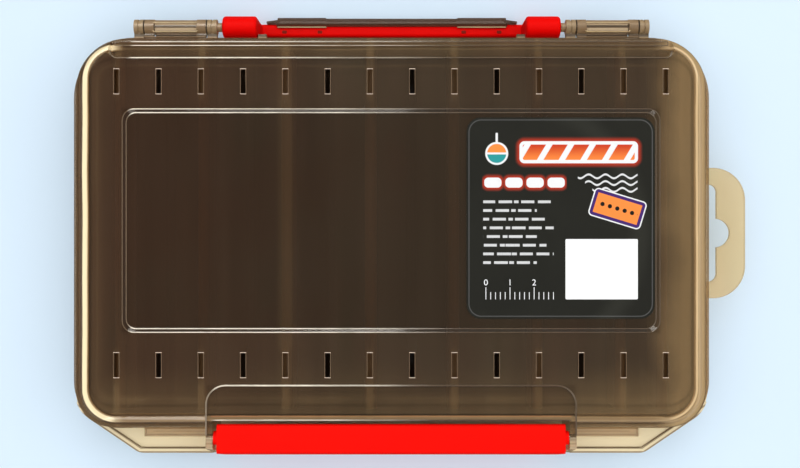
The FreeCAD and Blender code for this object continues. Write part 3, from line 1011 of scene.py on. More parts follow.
@dataclass(frozen=True, kw_only=True)
class EdgedSmoke(SmokePlastic):
    """Smoke plastic of a moulding with a thin edge.

    Attributes:
        edge: Where it is thin.
        pale: The haze's colour there.
        thin: What one face lets through there.
        thin_haze: The share of the haze there.
        hinges: Its hinge knuckles with their painted highlights and shade, if it has them.
        light: Its painted light and shade from its sides, if it has them.
        shoulder: The painted highlight round its shoulder, if it has one.
    """

    edge: Edge
    pale: Colour
    thin: Colour
    thin_haze: float
    hinges: Hinges | None = None
    light: LidLight | None = None
    shoulder: Shoulder | None = None

    def look(self, shader: Shader, clouds: Signal) -> Look:
        """Return what the plastic shows under its gloss.

        Args:
            shader: The shader that is being built.
            clouds: Slow noise.

        Returns:
            The look.
        """
        thin = self.edge.thin(shader)
        lines = self.edge.lines(shader)
        haze = self.haze + thin * (self.thin_haze - self.haze)
        knuckles: Amount = 0.0
        layers = self.pigment(shader, clouds)
        # Painted light and shade from the sides and over what lies under the lid.
        if self.light is not None:
            self.light.lay(layers, clouds)
        self.streak(layers)
        # The painted highlight round the shoulder also hides more of what is behind it.
        gleam: Amount = 0.0
        if self.shoulder is not None:
            gleam = self.shoulder.lay(layers, clouds) * SHOULDER_HAZE
        layers.lay(thin, self.pale)
        layers.lay(lines, LINE_BROWN)
        # The knuckles' painted highlights and painted shade.
        if self.hinges is not None:
            knuckles = self.hinges.share(shader)
            layers.lay(knuckles, self.hinges.painted(shader))
            haze = haze + knuckles * (KNUCKLE_HAZE - haze)
        seen = shader.blend(thin, shader.clear(self.deep), shader.clear(self.thin))
        return Look(layers.colour, haze + gleam + lines * LINE_HAZE, seen, knuckles)


@dataclass(frozen=True)
class RedPlastic:
    """Opaque moulded red plastic, with sizes in millimetres.

    Attributes:
        name: The material's name.
        colour: Its main colour.
        worn: Its colour where it is handled.
        roughness: How far its gloss is spread.
        shine: How strongly it shines.
        cloud_size: The size of its worn places.
        grain_size: The size of its grain.
        flow_size: The width of its flow lines.
        flow_stretch: How much longer they are along the piece.
        wear_start: The cloud's level where wear begins.
        wear_shares: How strongly clouds and flow lines bring the worn colour in.
        dull_shares: How far clouds and flow lines spread the gloss.
        flow_depth: The flow lines' depth as a share of the grain's.
        relief: The grain's depth.
    """

    name: str
    colour: Colour
    worn: Colour
    roughness: float
    shine: float = 0.025
    cloud_size: float = 18.0
    grain_size: float = 0.5
    flow_size: float = 3.0
    flow_stretch: Triple = (16.0, 1.0, 1.0)
    wear_start: float = 0.42
    wear_shares: Range = (0.9, 0.3)
    dull_shares: Range = (0.16, 0.06)
    flow_depth: float = 0.6
    relief: float = 0.03

    def material(self) -> bpy.types.Material:
        """Build the material.

        Returns:
            The material.
        """
        shader = Shader(self.name)
        clouds = shader.noise(self.cloud_size)
        grain = shader.noise(self.grain_size, detail=2)
        flow = shader.noise(self.flow_size, self.flow_stretch, 2)
        by_cloud, by_flow = self.wear_shares
        worn = (clouds - self.wear_start) * by_cloud + (flow - 0.5) * by_flow
        by_cloud, by_flow = self.dull_shares
        surface = shader.solid(
            Base_Color=shader.mix(worn, self.colour, self.worn),
            Roughness=self.roughness + (clouds - 0.5) * by_cloud + (flow - 0.5) * by_flow,
            Specular_IOR_Level=self.shine,
            Normal=shader.bump(grain + flow * self.flow_depth, self.relief),
        )
        return shader.finished(surface)


@dataclass(frozen=True)
class DrawnSteel:
    """Plain steel rod with lines round it from drawing, with sizes in millimetres.

    Attributes:
        name: The material's name.
        colour: The metal's colour.
        roughness: How far its gloss is spread.
        line_width: The width of its lines.
        line_stretch: How much longer the lines are along the rod.
        relief: The lines' depth.
        dark_share: How much light the lines keep.
        dull_share: How far they spread the gloss.
    """

    name: str
    colour: Colour
    roughness: float
    line_width: float = 0.25
    line_stretch: Triple = (60.0, 1.0, 1.0)
    relief: float = 0.02
    dark_share: float = 0.6
    dull_share: float = 0.2

    def material(self) -> bpy.types.Material:
        """Build the material.

        Returns:
            The material.
        """
        shader = Shader(self.name)
        lines = shader.noise(self.line_width, self.line_stretch, 2)
        surface = shader.solid(
            Base_Color=shader.mix(lines, self.colour, toned(self.colour, self.dark_share)),
            Metallic=1.0,
            Roughness=self.roughness + (lines - 0.5) * self.dull_share,
            Normal=shader.bump(lines, self.relief),
        )
        return shader.finished(surface)


@dataclass(frozen=True)
class Ink:
    """Flat print with a fine tooth, with sizes in millimetres.

    Attributes:
        name: The material's name.
        colour: Its colour.
        roughness: How far its gloss is spread.
        tooth_size: The size of its tooth.
        dull_share: How far the tooth spreads the gloss.
        cloud_size: The size of its darker patches.
        cloud_start: The cloud's level where they begin.
        cloud_share: How strongly they show.
        dark_share: How much light they keep.
        relief: The tooth's depth.
    """

    name: str
    colour: Colour
    roughness: float
    tooth_size: float = 0.35
    dull_share: float = 0.1
    cloud_size: float = 12.0
    cloud_start: float = 0.35
    cloud_share: float = 0.12
    dark_share: float = 0.7
    relief: float = 0.01

    def material(self) -> bpy.types.Material:
        """Build the material.

        Returns:
            The material.
        """
        shader = Shader(self.name)
        tooth = shader.noise(self.tooth_size)
        patches = (shader.noise(self.cloud_size) - self.cloud_start) * self.cloud_share
        surface = shader.solid(
            Base_Color=shader.mix(patches, self.colour, toned(self.colour, self.dark_share)),
            Roughness=self.roughness + (tooth - 0.5) * self.dull_share,
            Normal=shader.bump(tooth, self.relief),
        )
        return shader.finished(surface)


CARD_BLACK: Colour = (0.0155, 0.0155, 0.012)
PRINT_WHITE: Colour = (0.82, 0.82, 0.82)
PRINT_ORANGE = display(250, 140, 60)
PRINT_RED = display(200, 52, 22)
PRINT_PURPLE = display(70, 40, 110)
PRINT_TEAL = display(40, 150, 150)
CRISP: Range = (0.15, 0.0)


class Card(Layers):
    """The label card's colour so far, with places in millimetres from its left front corner."""

    def __init__(self, shader: Shader, left: float, front: float) -> None:
        """Start with the bare card.

        Args:
            shader: The shader that is being built.
            left: The card's left edge in the box's frame.
            front: Its front edge in the box's frame.
        """
        super().__init__(shader, CARD_BLACK)
        self.across = shader.x - left
        self.up = shader.y - front

    def outside(self, patch: Patch) -> Signal:
        """Return how far a place is outside a patch of the card."""
        return patch.distance(self.across, self.up)

    def from_middle(self, middle: Range) -> Signal:
        """Return how far a place is from the middle of a round shape."""
        return diagonal(self.across - middle[0], self.up - middle[1])


class Print(Protocol):
    """One part of the card's print."""

    def lay(self, card: Card) -> None:
        """Lay it over the card's colour so far."""


@dataclass(frozen=True)
class Sheen:
    """Faint light on the bare card, with clouds in its black, in millimetres.

    Attributes:
        cloud_size: The size of the clouds.
        cloud_share: How strongly they show.
        cloud_tone: How much lighter they are.
        middle: The middle of a ring of light.
        ring: How far from there the ring lies.
        ring_share: How strongly it shows.
        ring_tone: How much lighter it is.
    """

    cloud_size: float = 20.0
    cloud_share: float = 0.6
    cloud_tone: float = 1.7
    middle: Range = (18.0, 36.0)
    ring: Band = Band(54.0, 7.0, 0.0)
    ring_share: float = 0.5
    ring_tone: float = 2.4

    def lay(self, card: Card) -> None:
        """Lay the clouds and the ring.

        Args:
            card: The card's colour so far.
        """
        clouds = card.shader.noise(self.cloud_size) * self.cloud_share
        card.lay(clouds, toned(CARD_BLACK, self.cloud_tone))
        ring = self.ring.on(card.from_middle(self.middle)) * self.ring_share
        card.lay(ring, toned(CARD_BLACK, self.ring_tone))


@dataclass(frozen=True)
class StripedBand:
    """A white band with leaning stripes, in millimetres.

    Attributes:
        outline: The band's outline.
        glow: How far red spreads round it.
        glow_share: How strong that red is.
        stripe: One stripe, in the stripes' pitch.
        pitch: The distance between stripes.
        slope: How far they lean.
        inset: Where they end inside the band.
        fade: Where their orange turns into red.
    """

    outline: Patch = Patch((22.0, 71.0), (64.5, 73.5), 2.0)
    glow: Range = (2.2, 0.0)
    glow_share: float = 0.75
    stripe: Band = Band(4.5, 3.3, 3.0)
    pitch: float = 9.0
    slope: float = 0.6
    inset: Range = (-1.2, -1.4)
    fade: Range = (64.0, 73.0)

    def lay(self, card: Card) -> None:
        """Lay the band, its glow and its stripes.

        Args:
            card: The card's colour so far.
        """
        outside = card.outside(self.outline)
        card.lay(outside.ramp(*self.glow) * self.glow_share, PRINT_RED)
        card.lay(outside.ramp(*CRISP), PRINT_WHITE)
        along = (card.across - card.up * self.slope).wrapped(self.pitch)
        fill = card.shader.mix(card.up.ramp(*self.fade), PRINT_ORANGE, PRINT_RED)
        card.lay(self.stripe.on(along) * outside.ramp(*self.inset), fill)


@dataclass(frozen=True)
class Float:
    """A round float with two halves, a belt and a stem, in millimetres.

    Attributes:
        middle: Its middle.
        border: The outer edge of its border.
        body: The outer edge of its halves.
        waterline: Where its upper half turns into its lower one.
        belt: The belt between them.
        belt_end: Where the belt ends.
        stem: Its stem.
    """

    middle: Range = (12.5, 68.5)
    border: Range = (4.9, 4.6)
    body: Range = (4.1, 3.8)
    waterline: Range = (68.7, 68.3)
    belt: Band = Band(68.5, 0.5, 0.3)
    belt_end: Range = (4.2, 4.0)
    stem: Patch = Patch((12.1, 12.9), (73.0, 77.0), 0.3)

    def lay(self, card: Card) -> None:
        """Lay the float with its stem.

        Args:
            card: The card's colour so far.
        """
        disc = card.from_middle(self.middle)
        halves = card.shader.mix(card.up.ramp(*self.waterline), PRINT_ORANGE, PRINT_TEAL)
        card.lay(disc.ramp(*self.border), PRINT_WHITE)
        card.lay(disc.ramp(*self.body), halves)
        card.lay(self.belt.on(card.up) * disc.ramp(*self.belt_end), PRINT_WHITE)
        card.lay(card.outside(self.stem).ramp(*CRISP), PRINT_WHITE)


@dataclass(frozen=True)
class Tablets:
    """A row of white tablets, in millimetres.

    Attributes:
        outline: One tablet, in the row's pitch.
        start: Where the row starts.
        pitch: The distance between tablets.
        first: Where the row begins to show.
        last: Where it ends.
        glow: How far red spreads round a tablet.
        glow_share: How strong that red is.
    """

    outline: Patch = Patch((0.9, 7.9), (54.4, 58.4), 1.6)
    start: float = 6.5
    pitch: float = 8.75
    first: Range = (6.4, 6.6)
    last: Range = (41.6, 41.4)
    glow: Range = (1.9, 0.0)
    glow_share: float = 0.75

    def lay(self, card: Card) -> None:
        """Lay the row with its glow.

        Args:
            card: The card's colour so far.
        """
        row = card.across.ramp(*self.first) * card.across.ramp(*self.last)
        along = (card.across - self.start).wrapped(self.pitch)
        outside = self.outline.distance(along, card.up)
        card.lay(outside.ramp(*self.glow) * self.glow_share * row, PRINT_RED)
        card.lay(outside.ramp(*CRISP) * row, PRINT_WHITE)


@dataclass(frozen=True)
class Waves:
    """White waves, in millimetres.

    Attributes:
        lines: Each wave's height and where it starts.
        start_fade: How far it takes to show.
        end: Where they all end.
        turn: The angle that a wave turns through in a millimetre.
        swing: How far it goes up and down.
        ink: Where its ink ends and where it is whole.
        share: How strongly it shows.
    """

    lines: tuple[Range, ...] = ((59.0, 46.0), (56.2, 49.0), (53.4, 52.0))
    start_fade: float = 0.3
    end: Range = (71.0, 70.7)
    turn: float = 0.9
    swing: float = 0.8
    ink: Range = (0.5, 0.3)
    share: float = 0.85

    def lay(self, card: Card) -> None:
        """Lay the waves.

        Args:
            card: The card's colour so far.
        """
        swing = (card.across * self.turn).sine() * self.swing
        for height, start in self.lines:
            line = abs(card.up - height - swing).ramp(*self.ink)
            line = line * card.across.ramp(start, start + self.start_fade)
            card.lay(line * card.across.ramp(*self.end) * self.share, PRINT_WHITE)


@dataclass(frozen=True)
class Tile:
    """A leaning orange tile with a row of dots, in millimetres.

    Attributes:
        cosine: The cosine of its lean.
        sine: The sine of its lean.
        outline: Its outline, in its own direction.
        rim: The outer edge of its white rim.
        border: The outer edge of its purple border.
        face: The outer edge of its orange face.
        dot_pitch: The distance between dots.
        dot_height: Where the row of dots lies.
        dot: The edge of a dot.
        dot_end: Where the row ends inside the tile.
    """

    cosine: float = 0.956
    sine: float = 0.292
    outline: Patch = Patch((36.5, 56.5), (57.2, 66.6), 0.6)
    rim: Range = (1.4, 1.2)
    border: Range = (0.9, 0.7)
    face: Range = (-0.4, -0.6)
    dot_pitch: float = 3.2
    dot_height: float = 61.9
    dot: Range = (1.0, 0.8)
    dot_end: Range = (-1.2, -1.4)

    def lay(self, card: Card) -> None:
        """Lay the tile with its dots.

        Args:
            card: The card's colour so far.
        """
        along = card.across * self.cosine - card.up * self.sine
        over = card.across * self.sine + card.up * self.cosine
        outside = self.outline.distance(along, over)
        card.lay(outside.ramp(*self.rim), PRINT_WHITE)
        card.lay(outside.ramp(*self.border), PRINT_PURPLE)
        card.lay(outside.ramp(*self.face), PRINT_ORANGE)
        from_dot = along.wrapped(self.dot_pitch) - self.dot_pitch / 2
        dots = diagonal(from_dot, over - self.dot_height).ramp(*self.dot)
        card.lay(dots * outside.ramp(*self.dot_end), CARD_BLACK)


@dataclass(frozen=True)
class Dashes:
    """Rows of dashes in place of words, in millimetres.

    Attributes:
        start: Where the rows start.
        top: The first row's height.
        pitch: The distance between rows.
        count: How many rows there are.
        lengths: How long they are, in turn.
        thickness: How thick a dash is.
        ink: Where its ink ends and where it is whole.
        waves: Two waves that break the rows: how fast each turns and its step from row to row.
        gap: The sum of the waves at the end of a gap.
        share: How strongly the dashes show.
    """

    start: float = 7.0
    top: float = 48.0
    pitch: float = 3.6
    count: int = 8
    lengths: Triple = (29.0, 22.0, 26.0)
    thickness: float = 0.9
    ink: Range = (0.2, 0.0)
    waves: tuple[Range, Range] = ((1.9, 2.3), (0.83, 1.1))
    gap: Range = (-1.0, -0.8)
    share: float = 0.75

    def lay(self, card: Card) -> None:
        """Lay the rows.

        Args:
            card: The card's colour so far.
        """
        for row in range(self.count):
            foot = self.top - row * self.pitch
            end = self.start + self.lengths[row % len(self.lengths)]
            rule = card.outside(Patch((self.start, end), (foot, foot + self.thickness)))
            first, second = ((card.across * turn + row * step).sine() for turn, step in self.waves)
            printed = rule.ramp(*self.ink) * (first + second).ramp(*self.gap)
            card.lay(printed * self.share, PRINT_WHITE)


@dataclass(frozen=True)
class Rule:
    """A fine pale line round the card, in millimetres.

    Attributes:
        outline: Its course.
        ink: Where its ink ends and where it is whole.
        share: How strongly it shows.
    """

    outline: Patch = Patch((1.0, 77.0), (1.0, 82.4), 5.2)
    ink: Range = (0.3, 0.1)
    share: float = 0.08

    def lay(self, card: Card) -> None:
        """Lay the line."""
        card.lay(abs(card.outside(self.outline)).ramp(*self.ink) * self.share, PRINT_WHITE)


@dataclass(frozen=True)
class PrintedCard:
    """Black glossy card with plain print.

    Attributes:
        name: The material's name.
        left: The card's left edge in the box's frame, in millimetres.
        front: Its front edge in the box's frame, in millimetres.
        prints: What is printed on it, from the lowest layer up.
        roughness: How far its gloss is spread.
        shine: How strongly it shines.
        patch_size: The size of its duller patches in millimetres.
        patch_share: How far they spread the gloss.
        wave_size: The size of its slow waves in millimetres.
        tooth_size: The size of its fine tooth in millimetres.
        tooth_share: The tooth's depth as a share of the waves'.
        relief: The waves' depth in millimetres.
    """

    name: str
    left: float
    front: float
    prints: tuple[Print, ...] = (
        Sheen(),
        StripedBand(),
        Float(),
        Tablets(),
        Waves(),
        Tile(),
        Dashes(),
        Rule(),
    )
    roughness: float = 0.16
    shine: float = 0.3
    patch_size: float = 3.0
    patch_share: float = 0.06
    wave_size: float = 16.0
    tooth_size: float = 0.6
    tooth_share: float = 0.05
    relief: float = 0.06

    def material(self) -> bpy.types.Material:
        """Build the material.

        Returns:
            The material.
        """
        shader = Shader(self.name)
        card = Card(shader, self.left, self.front)
        for layer in self.prints:
            layer.lay(card)
        height = shader.noise(self.wave_size) + shader.noise(self.tooth_size) * self.tooth_share
        surface = shader.solid(
            Base_Color=card.colour,
            Roughness=self.roughness + shader.noise(self.patch_size) * self.patch_share,
            Specular_IOR_Level=self.shine,
            Normal=shader.bump(height, self.relief),
        )
        return shader.finished(surface)


@dataclass(frozen=True)
class StudioPaper:
    """Plain pale paper under and behind the box.

    Attributes:
        name: The material's name.
        colour: Its colour.
        glow: The light that it gives off under the box, so that shadows stay light.
        far_glow: The light that it gives off far away, where the lamps don't reach.
        reach: Where the first turns into the second, in millimetres from the box.
        cloud_size: The size of its darker patches in millimetres.
        cloud_share: How strongly they show.
        dark_share: How much light they keep.
        roughness: How far its gloss is spread.
    """

    name: str
    colour: Colour
    glow: Colour
    far_glow: Colour
    reach: Range
    cloud_size: float = 350.0
    cloud_share: float = 0.35
    dark_share: float = 0.93
    roughness: float = 0.9

    def material(self) -> bpy.types.Material:
        """Build the material.

        Returns:
            The material.
        """
        shader = Shader(self.name)
        patches = shader.noise(self.cloud_size) * self.cloud_share
        body = shader.mix(patches, self.colour, toned(self.colour, self.dark_share))
        away = diagonal(shader.x, shader.y, shader.z).ramp(*self.reach)
        surface = shader.solid(
            Base_Color=shader.mix(away, body, BLACK),
            Roughness=self.roughness,
            Specular_IOR_Level=0.0,
            Emission_Color=shader.mix(away, self.glow, self.far_glow),
            Emission_Strength=1.0,
        )
        return shader.finished(surface)


LID_PALE = display(246, 222, 184)
TRAY_PALE = display(255, 237, 194)
LID_SMOKE = EdgedSmoke(
    name="lid_smoke",
    warm=display(113, 86, 66),
    cool=display(112, 95, 76),
    pale=LID_PALE,
    thin=(0.96, 0.90, 0.80),
    haze=0.30,
    thin_haze=0.32,
    rim=0.5,
    roughness=0.08,
    ripple=0.012,
    edge=LidLip(),
    hinges=Hinges(display(150, 122, 88), LID_PALE),
    light=LidLight(display(202, 170, 122)),
    shoulder=Shoulder(),
)
# Near-black haze: painted shade for the dark inside of the closed box; the thin ledge is pale.
TRAY_SMOKE = EdgedSmoke(
    name="tray_smoke",
    warm=display(23, 15, 10),
    cool=display(28, 20, 15),
    pale=TRAY_PALE,
    deep=(0.50, 0.38, 0.28),
    thin=(1.0, 0.93, 0.80),
    haze=0.5,
    thin_haze=0.84,
    rim=0.45,
    roughness=0.12,
    ripple=0.012,
    edge=TrayLedge(),
    hinges=Hinges(display(166, 139, 102), TRAY_PALE),
)
# Pale rims round the slots, with their ends painted paler as highlights.
RIM_SMOKE = EdgedSmoke(
    name="rim_smoke",
    warm=display(168, 142, 116),
    cool=display(156, 132, 106),
    pale=display(240, 218, 200),
    thin=(0.85, 0.75, 0.64),
    haze=0.6,
    thin_haze=0.92,
    roughness=0.2,
    gloss=0.4,
    edge=SlotEnds(),
)
DIVIDER_SMOKE = SmokePlastic(
    name="divider_smoke",
    warm=display(98, 74, 50),
    cool=display(102, 80, 56),
    deep=(0.70, 0.58, 0.46),
    haze=0.85,
    roughness=0.3,
    ripple=0.012,
    gloss=0.1,
)
# Near white at -X, brown at +X: a painted highlight, with painted shade at the -X end.
BEAD_SMOKE = SmokePlastic(
    name="bead_smoke",
    warm=display(255, 244, 222),
    cool=display(96, 80, 63),
    haze=0.9,
    roughness=0.05,
    fade=(-50.0, 30.0),
    end=BeadEnd(display(112, 92, 70)),
)
# Pale cream, painted as the highlights on the hinge frames and along the clips.
FRAME_SMOKE = SmokePlastic(
    name="frame_smoke",
    warm=display(214, 190, 150),
    cool=display(214, 186, 140),
    deep=(0.85, 0.75, 0.64),
    haze=0.8,
    roughness=0.12,
)
STEP_SMOKE = SmokePlastic(
    name="step_smoke",
    warm=display(150, 96, 66),
    cool=display(176, 128, 84),
    haze=0.75,
    roughness=0.2,
    gloss=0.3,
    fade=(-80.0, -40.0),
)
TAB_SMOKE = SmokePlastic(
    name="tab_smoke",
    warm=display(236, 208, 160),
    cool=display(242, 214, 166),
    deep=(0.98, 0.88, 0.68),
    haze=0.2,
    rim=0.4,
    roughness=0.13,
    ripple=0.012,
)
COVER_SMOKE = SmokePlastic(
    name="cover_smoke",
    warm=display(90, 60, 43),
    cool=display(92, 63, 47),
    deep=(0.86, 0.74, 0.64),
    haze=0.45,
    rim=0.5,
    roughness=0.3,
    ripple=0.012,
    gloss=0.12,
)
LATCH_RED = RedPlastic("latch_red", (0.84, 0.0035, 0.001), (0.92, 0.006, 0.002), 0.5)
HANDLE_RED = RedPlastic("handle_red", (0.84, 0.002, 0.001), (0.95, 0.004, 0.002), 0.46)
PIN_STEEL = DrawnSteel("pin_steel", (0.58, 0.54, 0.49), 0.28)
WHITE_PANEL = Ink("white_panel", (0.90, 0.90, 0.90), 0.55)
WHITE_INK = Ink("white_ink", (0.85, 0.85, 0.86), 0.5)
STUDIO_PAPER = StudioPaper(
    "studio_paper",
    colour=(0.615, 0.735, 0.845),
    glow=(0.072, 0.087, 0.100),
    far_glow=display(221, 238, 250),
    reach=(600.0, 3400.0),
)


class Finish(Protocol):
    """Anything that can be built as a material."""

    def material(self) -> bpy.types.Material:
        """Build the material."""


@cache
def material_of(finish: Finish) -> bpy.types.Material:
    """Return a finish's material, which is built once."""
    return finish.material()


def paint(thing: bpy.types.Object, finish: Finish) -> None:
    """Give every slot of an object one finish.

    Args:
        thing: A piece or a node.
        finish: The finish.
    """
    material = material_of(finish)
    if not thing.material_slots:
        thing.data.materials.append(material)
    for slot in thing.material_slots:
        slot.material = material


CORNER_STEPS = 8
RING_STEPS = 3
PAD_STEPS = 2
FIGURE_STEPS = 4
SHARP_EDGE = 50.0
FLAT_SMOOTHING = 40.0
ROUND_SMOOTHING = 60.0
DOUBLES = 0.001


@dataclass(frozen=True)
class Section:
    """The cross-section of a raised line.

    Attributes:
        width: How wide it is.
        height: How tall it is.
        crest: Where its top is.
        roundness: The share of its width or height that its edges' rounding takes.
    """

    width: float
    height: float
    crest: float
    roundness: float = 0.42


class Bench:
    """Modelling steps on one piece at a time."""

    @staticmethod
    def start(name: str, add: Callable[..., Any], **settings: Any) -> bpy.types.Object:
        """Add a primitive with nothing else selected.

        Args:
            name: The piece's name.
            add: The operator that adds it.
            settings: The operator's settings.

        Returns:
            The new object.
        """
        bpy.ops.object.select_all(action="DESELECT")
        add(**settings)
        return Bench.named(bpy.context.object, name)

    @staticmethod
    def named(piece: bpy.types.Object, name: str) -> bpy.types.Object:
        """Name a piece and its mesh.

        Args:
            piece: The piece.
            name: The name.

        Returns:
            The piece.
        """
        piece.name = name
        piece.data.name = name
        return piece

    @staticmethod
    def pick_middle(piece: bpy.types.Object) -> None:
        """Select only the middle face of an inset sheet, the one with more than four corners.

        Args:
            piece: The sheet in edit mode.
        """
        bpy.context.tool_settings.mesh_select_mode = (False, False, True)
        bpy.ops.mesh.select_all(action="DESELECT")
        bpy.ops.object.mode_set(mode="OBJECT")
        for face in piece.data.polygons:
            face.select = len(face.vertices) > 4
        bpy.ops.object.mode_set(mode="EDIT")

    @staticmethod
    def sheet(name: str, outline: Patch, height: float) -> bpy.types.Object:
        """Start a flat sheet with round corners and stay in edit mode.

        Args:
            name: The piece's name.
            outline: Its outline.
            height: Where it lies.

        Returns:
            The sheet, with all of it selected.
        """
        (left, right), (front, rear) = outline.sides, outline.ends
        middle = Vector(((left + right) / 2, (front + rear) / 2, height)) * MM
        piece = Bench.start(name, bpy.ops.mesh.primitive_plane_add, size=1, location=middle)
        bpy.ops.object.mode_set(mode="EDIT")
        size = ((right - left) * MM, (rear - front) * MM, 1)
        bpy.ops.transform.resize(value=size, center_override=middle)
        corner = outline.radius * MM
        bpy.ops.mesh.bevel(offset=corner, segments=CORNER_STEPS, affect="VERTICES")
        bpy.ops.mesh.select_all(action="SELECT")
        return piece

    @staticmethod
    def lift(height: float) -> None:
        """Extrude what is selected straight up."""
        bpy.ops.mesh.extrude_region_move(TRANSFORM_OT_translate={"value": (0, 0, height * MM)})

    @staticmethod
    def finish(
        piece: bpy.types.Object, smoothing: float = FLAT_SMOOTHING
    ) -> bpy.types.Object:
        """Close a piece: doubles merged, normals outwards, place in its mesh and smooth faces.

        Args:
            piece: The piece.
            smoothing: The sharpest angle that is shaded smooth, in degrees.

        Returns:
            The piece at the origin.
        """
        if piece.mode != "EDIT":
            bpy.ops.object.mode_set(mode="EDIT")
        bpy.ops.mesh.select_all(action="SELECT")
        bpy.ops.mesh.remove_doubles(threshold=DOUBLES * MM)
        bpy.ops.mesh.normals_make_consistent(inside=False)
        bpy.ops.object.mode_set(mode="OBJECT")
        bpy.ops.object.transform_apply(location=True, rotation=True, scale=True)
        bpy.ops.object.shade_smooth_by_angle(angle=math.radians(smoothing))
        return piece

    @staticmethod
    def bevel(piece: bpy.types.Object, width: float, segments: int) -> None:
        """Round the sharp edges of a piece with a bevel that is applied.

        Args:
            piece: The piece in object mode.
            width: The bevel's width.
            segments: How many strips it has.
        """
        step = piece.modifiers.new("rounding", "BEVEL")
        step.width = width * MM
        step.segments = segments
        step.limit_method = "ANGLE"
        step.angle_limit = math.radians(SHARP_EDGE)
        bpy.ops.object.modifier_apply(modifier=step.name)

    @staticmethod
    def ring(name: str, outline: Patch, section: Section) -> bpy.types.Object:
        """Make a thin rounded frame.

        Args:
            name: The piece's name.
            outline: Its outer edge.
            section: Its cross-section.

        Returns:
            The frame.
        """
        piece = Bench.sheet(name, outline, section.crest - section.height)
        bpy.ops.mesh.inset(thickness=section.width * MM)
        Bench.pick_middle(piece)
        bpy.ops.mesh.delete(type="FACE")
        bpy.ops.mesh.select_all(action="SELECT")
        Bench.lift(section.height)
        Bench.finish(piece)
        rounding = min(section.width, section.height) * section.roundness
        Bench.bevel(piece, rounding, RING_STEPS)
        bpy.ops.object.shade_smooth_by_angle(angle=math.radians(ROUND_SMOOTHING))
        return piece

    @staticmethod
    def pad(name: str, outline: Patch, levels: Range, rounding: float = 0) -> bpy.types.Object:
        """Make a low flat pad with round corners.

        Args:
            name: The piece's name.
            outline: Its outline.
            levels: Where its foot and its top are.
            rounding: How far its edges are rounded.

        Returns:
            The pad.
        """
        foot, top = levels
        piece = Bench.sheet(name, outline, foot)
        Bench.lift(top - foot)
        Bench.finish(piece)
        if rounding:
            Bench.bevel(piece, rounding, PAD_STEPS)
        return piece

    @staticmethod
    def copies(piece: bpy.types.Object, name: str, steps: Sequence[Matrix]) -> bpy.types.Object:
        """Join copies of a finished piece, each with its own mesh, into one piece.

        Args:
            piece: The pattern, which becomes part of the result.
            name: The joined piece's name.
            steps: How each copy is moved from the pattern; the first is the pattern's own.

        Returns:
            The joined piece.
        """
        made = [piece]
        for _ in steps[1:]:
            bpy.ops.object.select_all(action="DESELECT")
            piece.select_set(True)
            bpy.context.view_layer.objects.active = piece
            bpy.ops.object.duplicate()
            made.append(bpy.context.object)
        bpy.ops.object.select_all(action="DESELECT")
        for copy, step in zip(made, steps, strict=True):
            copy.matrix_world = step
            copy.select_set(True)
        bpy.context.view_layer.objects.active = piece
        bpy.ops.object.transform_apply(location=True, rotation=True, scale=True)
        if len(made) > 1:
            bpy.ops.object.join()
        return Bench.named(bpy.context.object, name)

    @staticmethod
    def repeat(
        piece: bpy.types.Object, name: str, across: Sequence[float], up: Sequence[float] = (0.0,)
    ) -> bpy.types.Object:
        """Repeat a finished piece in rows.

        Args:
            piece: The pattern.
            name: The joined piece's name.
            across: How far each copy of a row is moved to the right.
            up: How far each row is moved to the rear.

        Returns:
            The joined piece.
        """
        steps = [Matrix.Translation((x * MM, y * MM, 0)) for y in up for x in across]
        return Bench.copies(piece, name, steps)

    @staticmethod
    def figure(
        name: str, text: str, size: float, place: Vector, height: float
    ) -> bpy.types.Object:
        """Make a raised figure as a mesh that lies flat.

        Args:
            name: The piece's name.
            text: The figure.
            size: Its size.
            place: The middle of its foot.
            height: How far it stands up.

        Returns:
            The figure as a mesh at the origin.
        """
        piece = Bench.start(name, bpy.ops.object.text_add, location=place * MM)
        piece.data.body = text
        piece.data.size = size * MM
        piece.data.extrude = height * MM / 2
        piece.data.align_x = "CENTER"
        piece.data.resolution_u = FIGURE_STEPS
        bpy.ops.object.convert(target="MESH")
        piece = Bench.named(bpy.context.object, name)
        bpy.ops.object.transform_apply(location=True, rotation=True, scale=True)
        return piece


class Side(Enum):
    """One of the box's two faces."""

    UPPER = "upper"
    LOWER = "lower"

    @property
    def turn(self) -> Matrix:
        """Work out the step that carries a piece of the upper face to this one.

        Returns:
            The step.
        """
        if self is Side.UPPER:
            return Matrix.Identity(4)
        return Matrix.Translation((0, 0, BOX_HEIGHT * MM)) @ Matrix.Scale(-1, 4, (0, 0, 1))


SMOKE_SLOT = "smoke_body"
PRINT_SLOT = "label_print"


@dataclass
class Assembly:
    """What every sub-assembly shares.

    Attributes:
        nodes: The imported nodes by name.
        made: The names of what it has dressed or added.
    """

    nodes: Mapping[str, bpy.types.Object]
    made: list[str] = field(default_factory=list, init=False)

    def dress(self, finish: Finish, *names: str) -> None:
        """Paint nodes with a finish.

        Args:
            finish: The finish.
            names: The nodes' names.
        """
        for name in names:
            paint(self.nodes[name], finish)
            self.made.append(name)

    def add(self, piece: bpy.types.Object, finish: Finish, body: str, slot: str) -> None:
        """Paint a new piece and let it ride on a body.

        Args:
            piece: The finished piece.
            finish: Its finish.
            body: The body that carries it.
            slot: The record's material slot that it belongs to; not used.
        """
        paint(piece, finish)
        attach(piece, body)
        self.made.append(piece.name)

    def build(self) -> None:
        """Dress the nodes and add what the frame leaves out."""
        raise NotImplementedError


PROUD = BOX_HEIGHT + 0.015


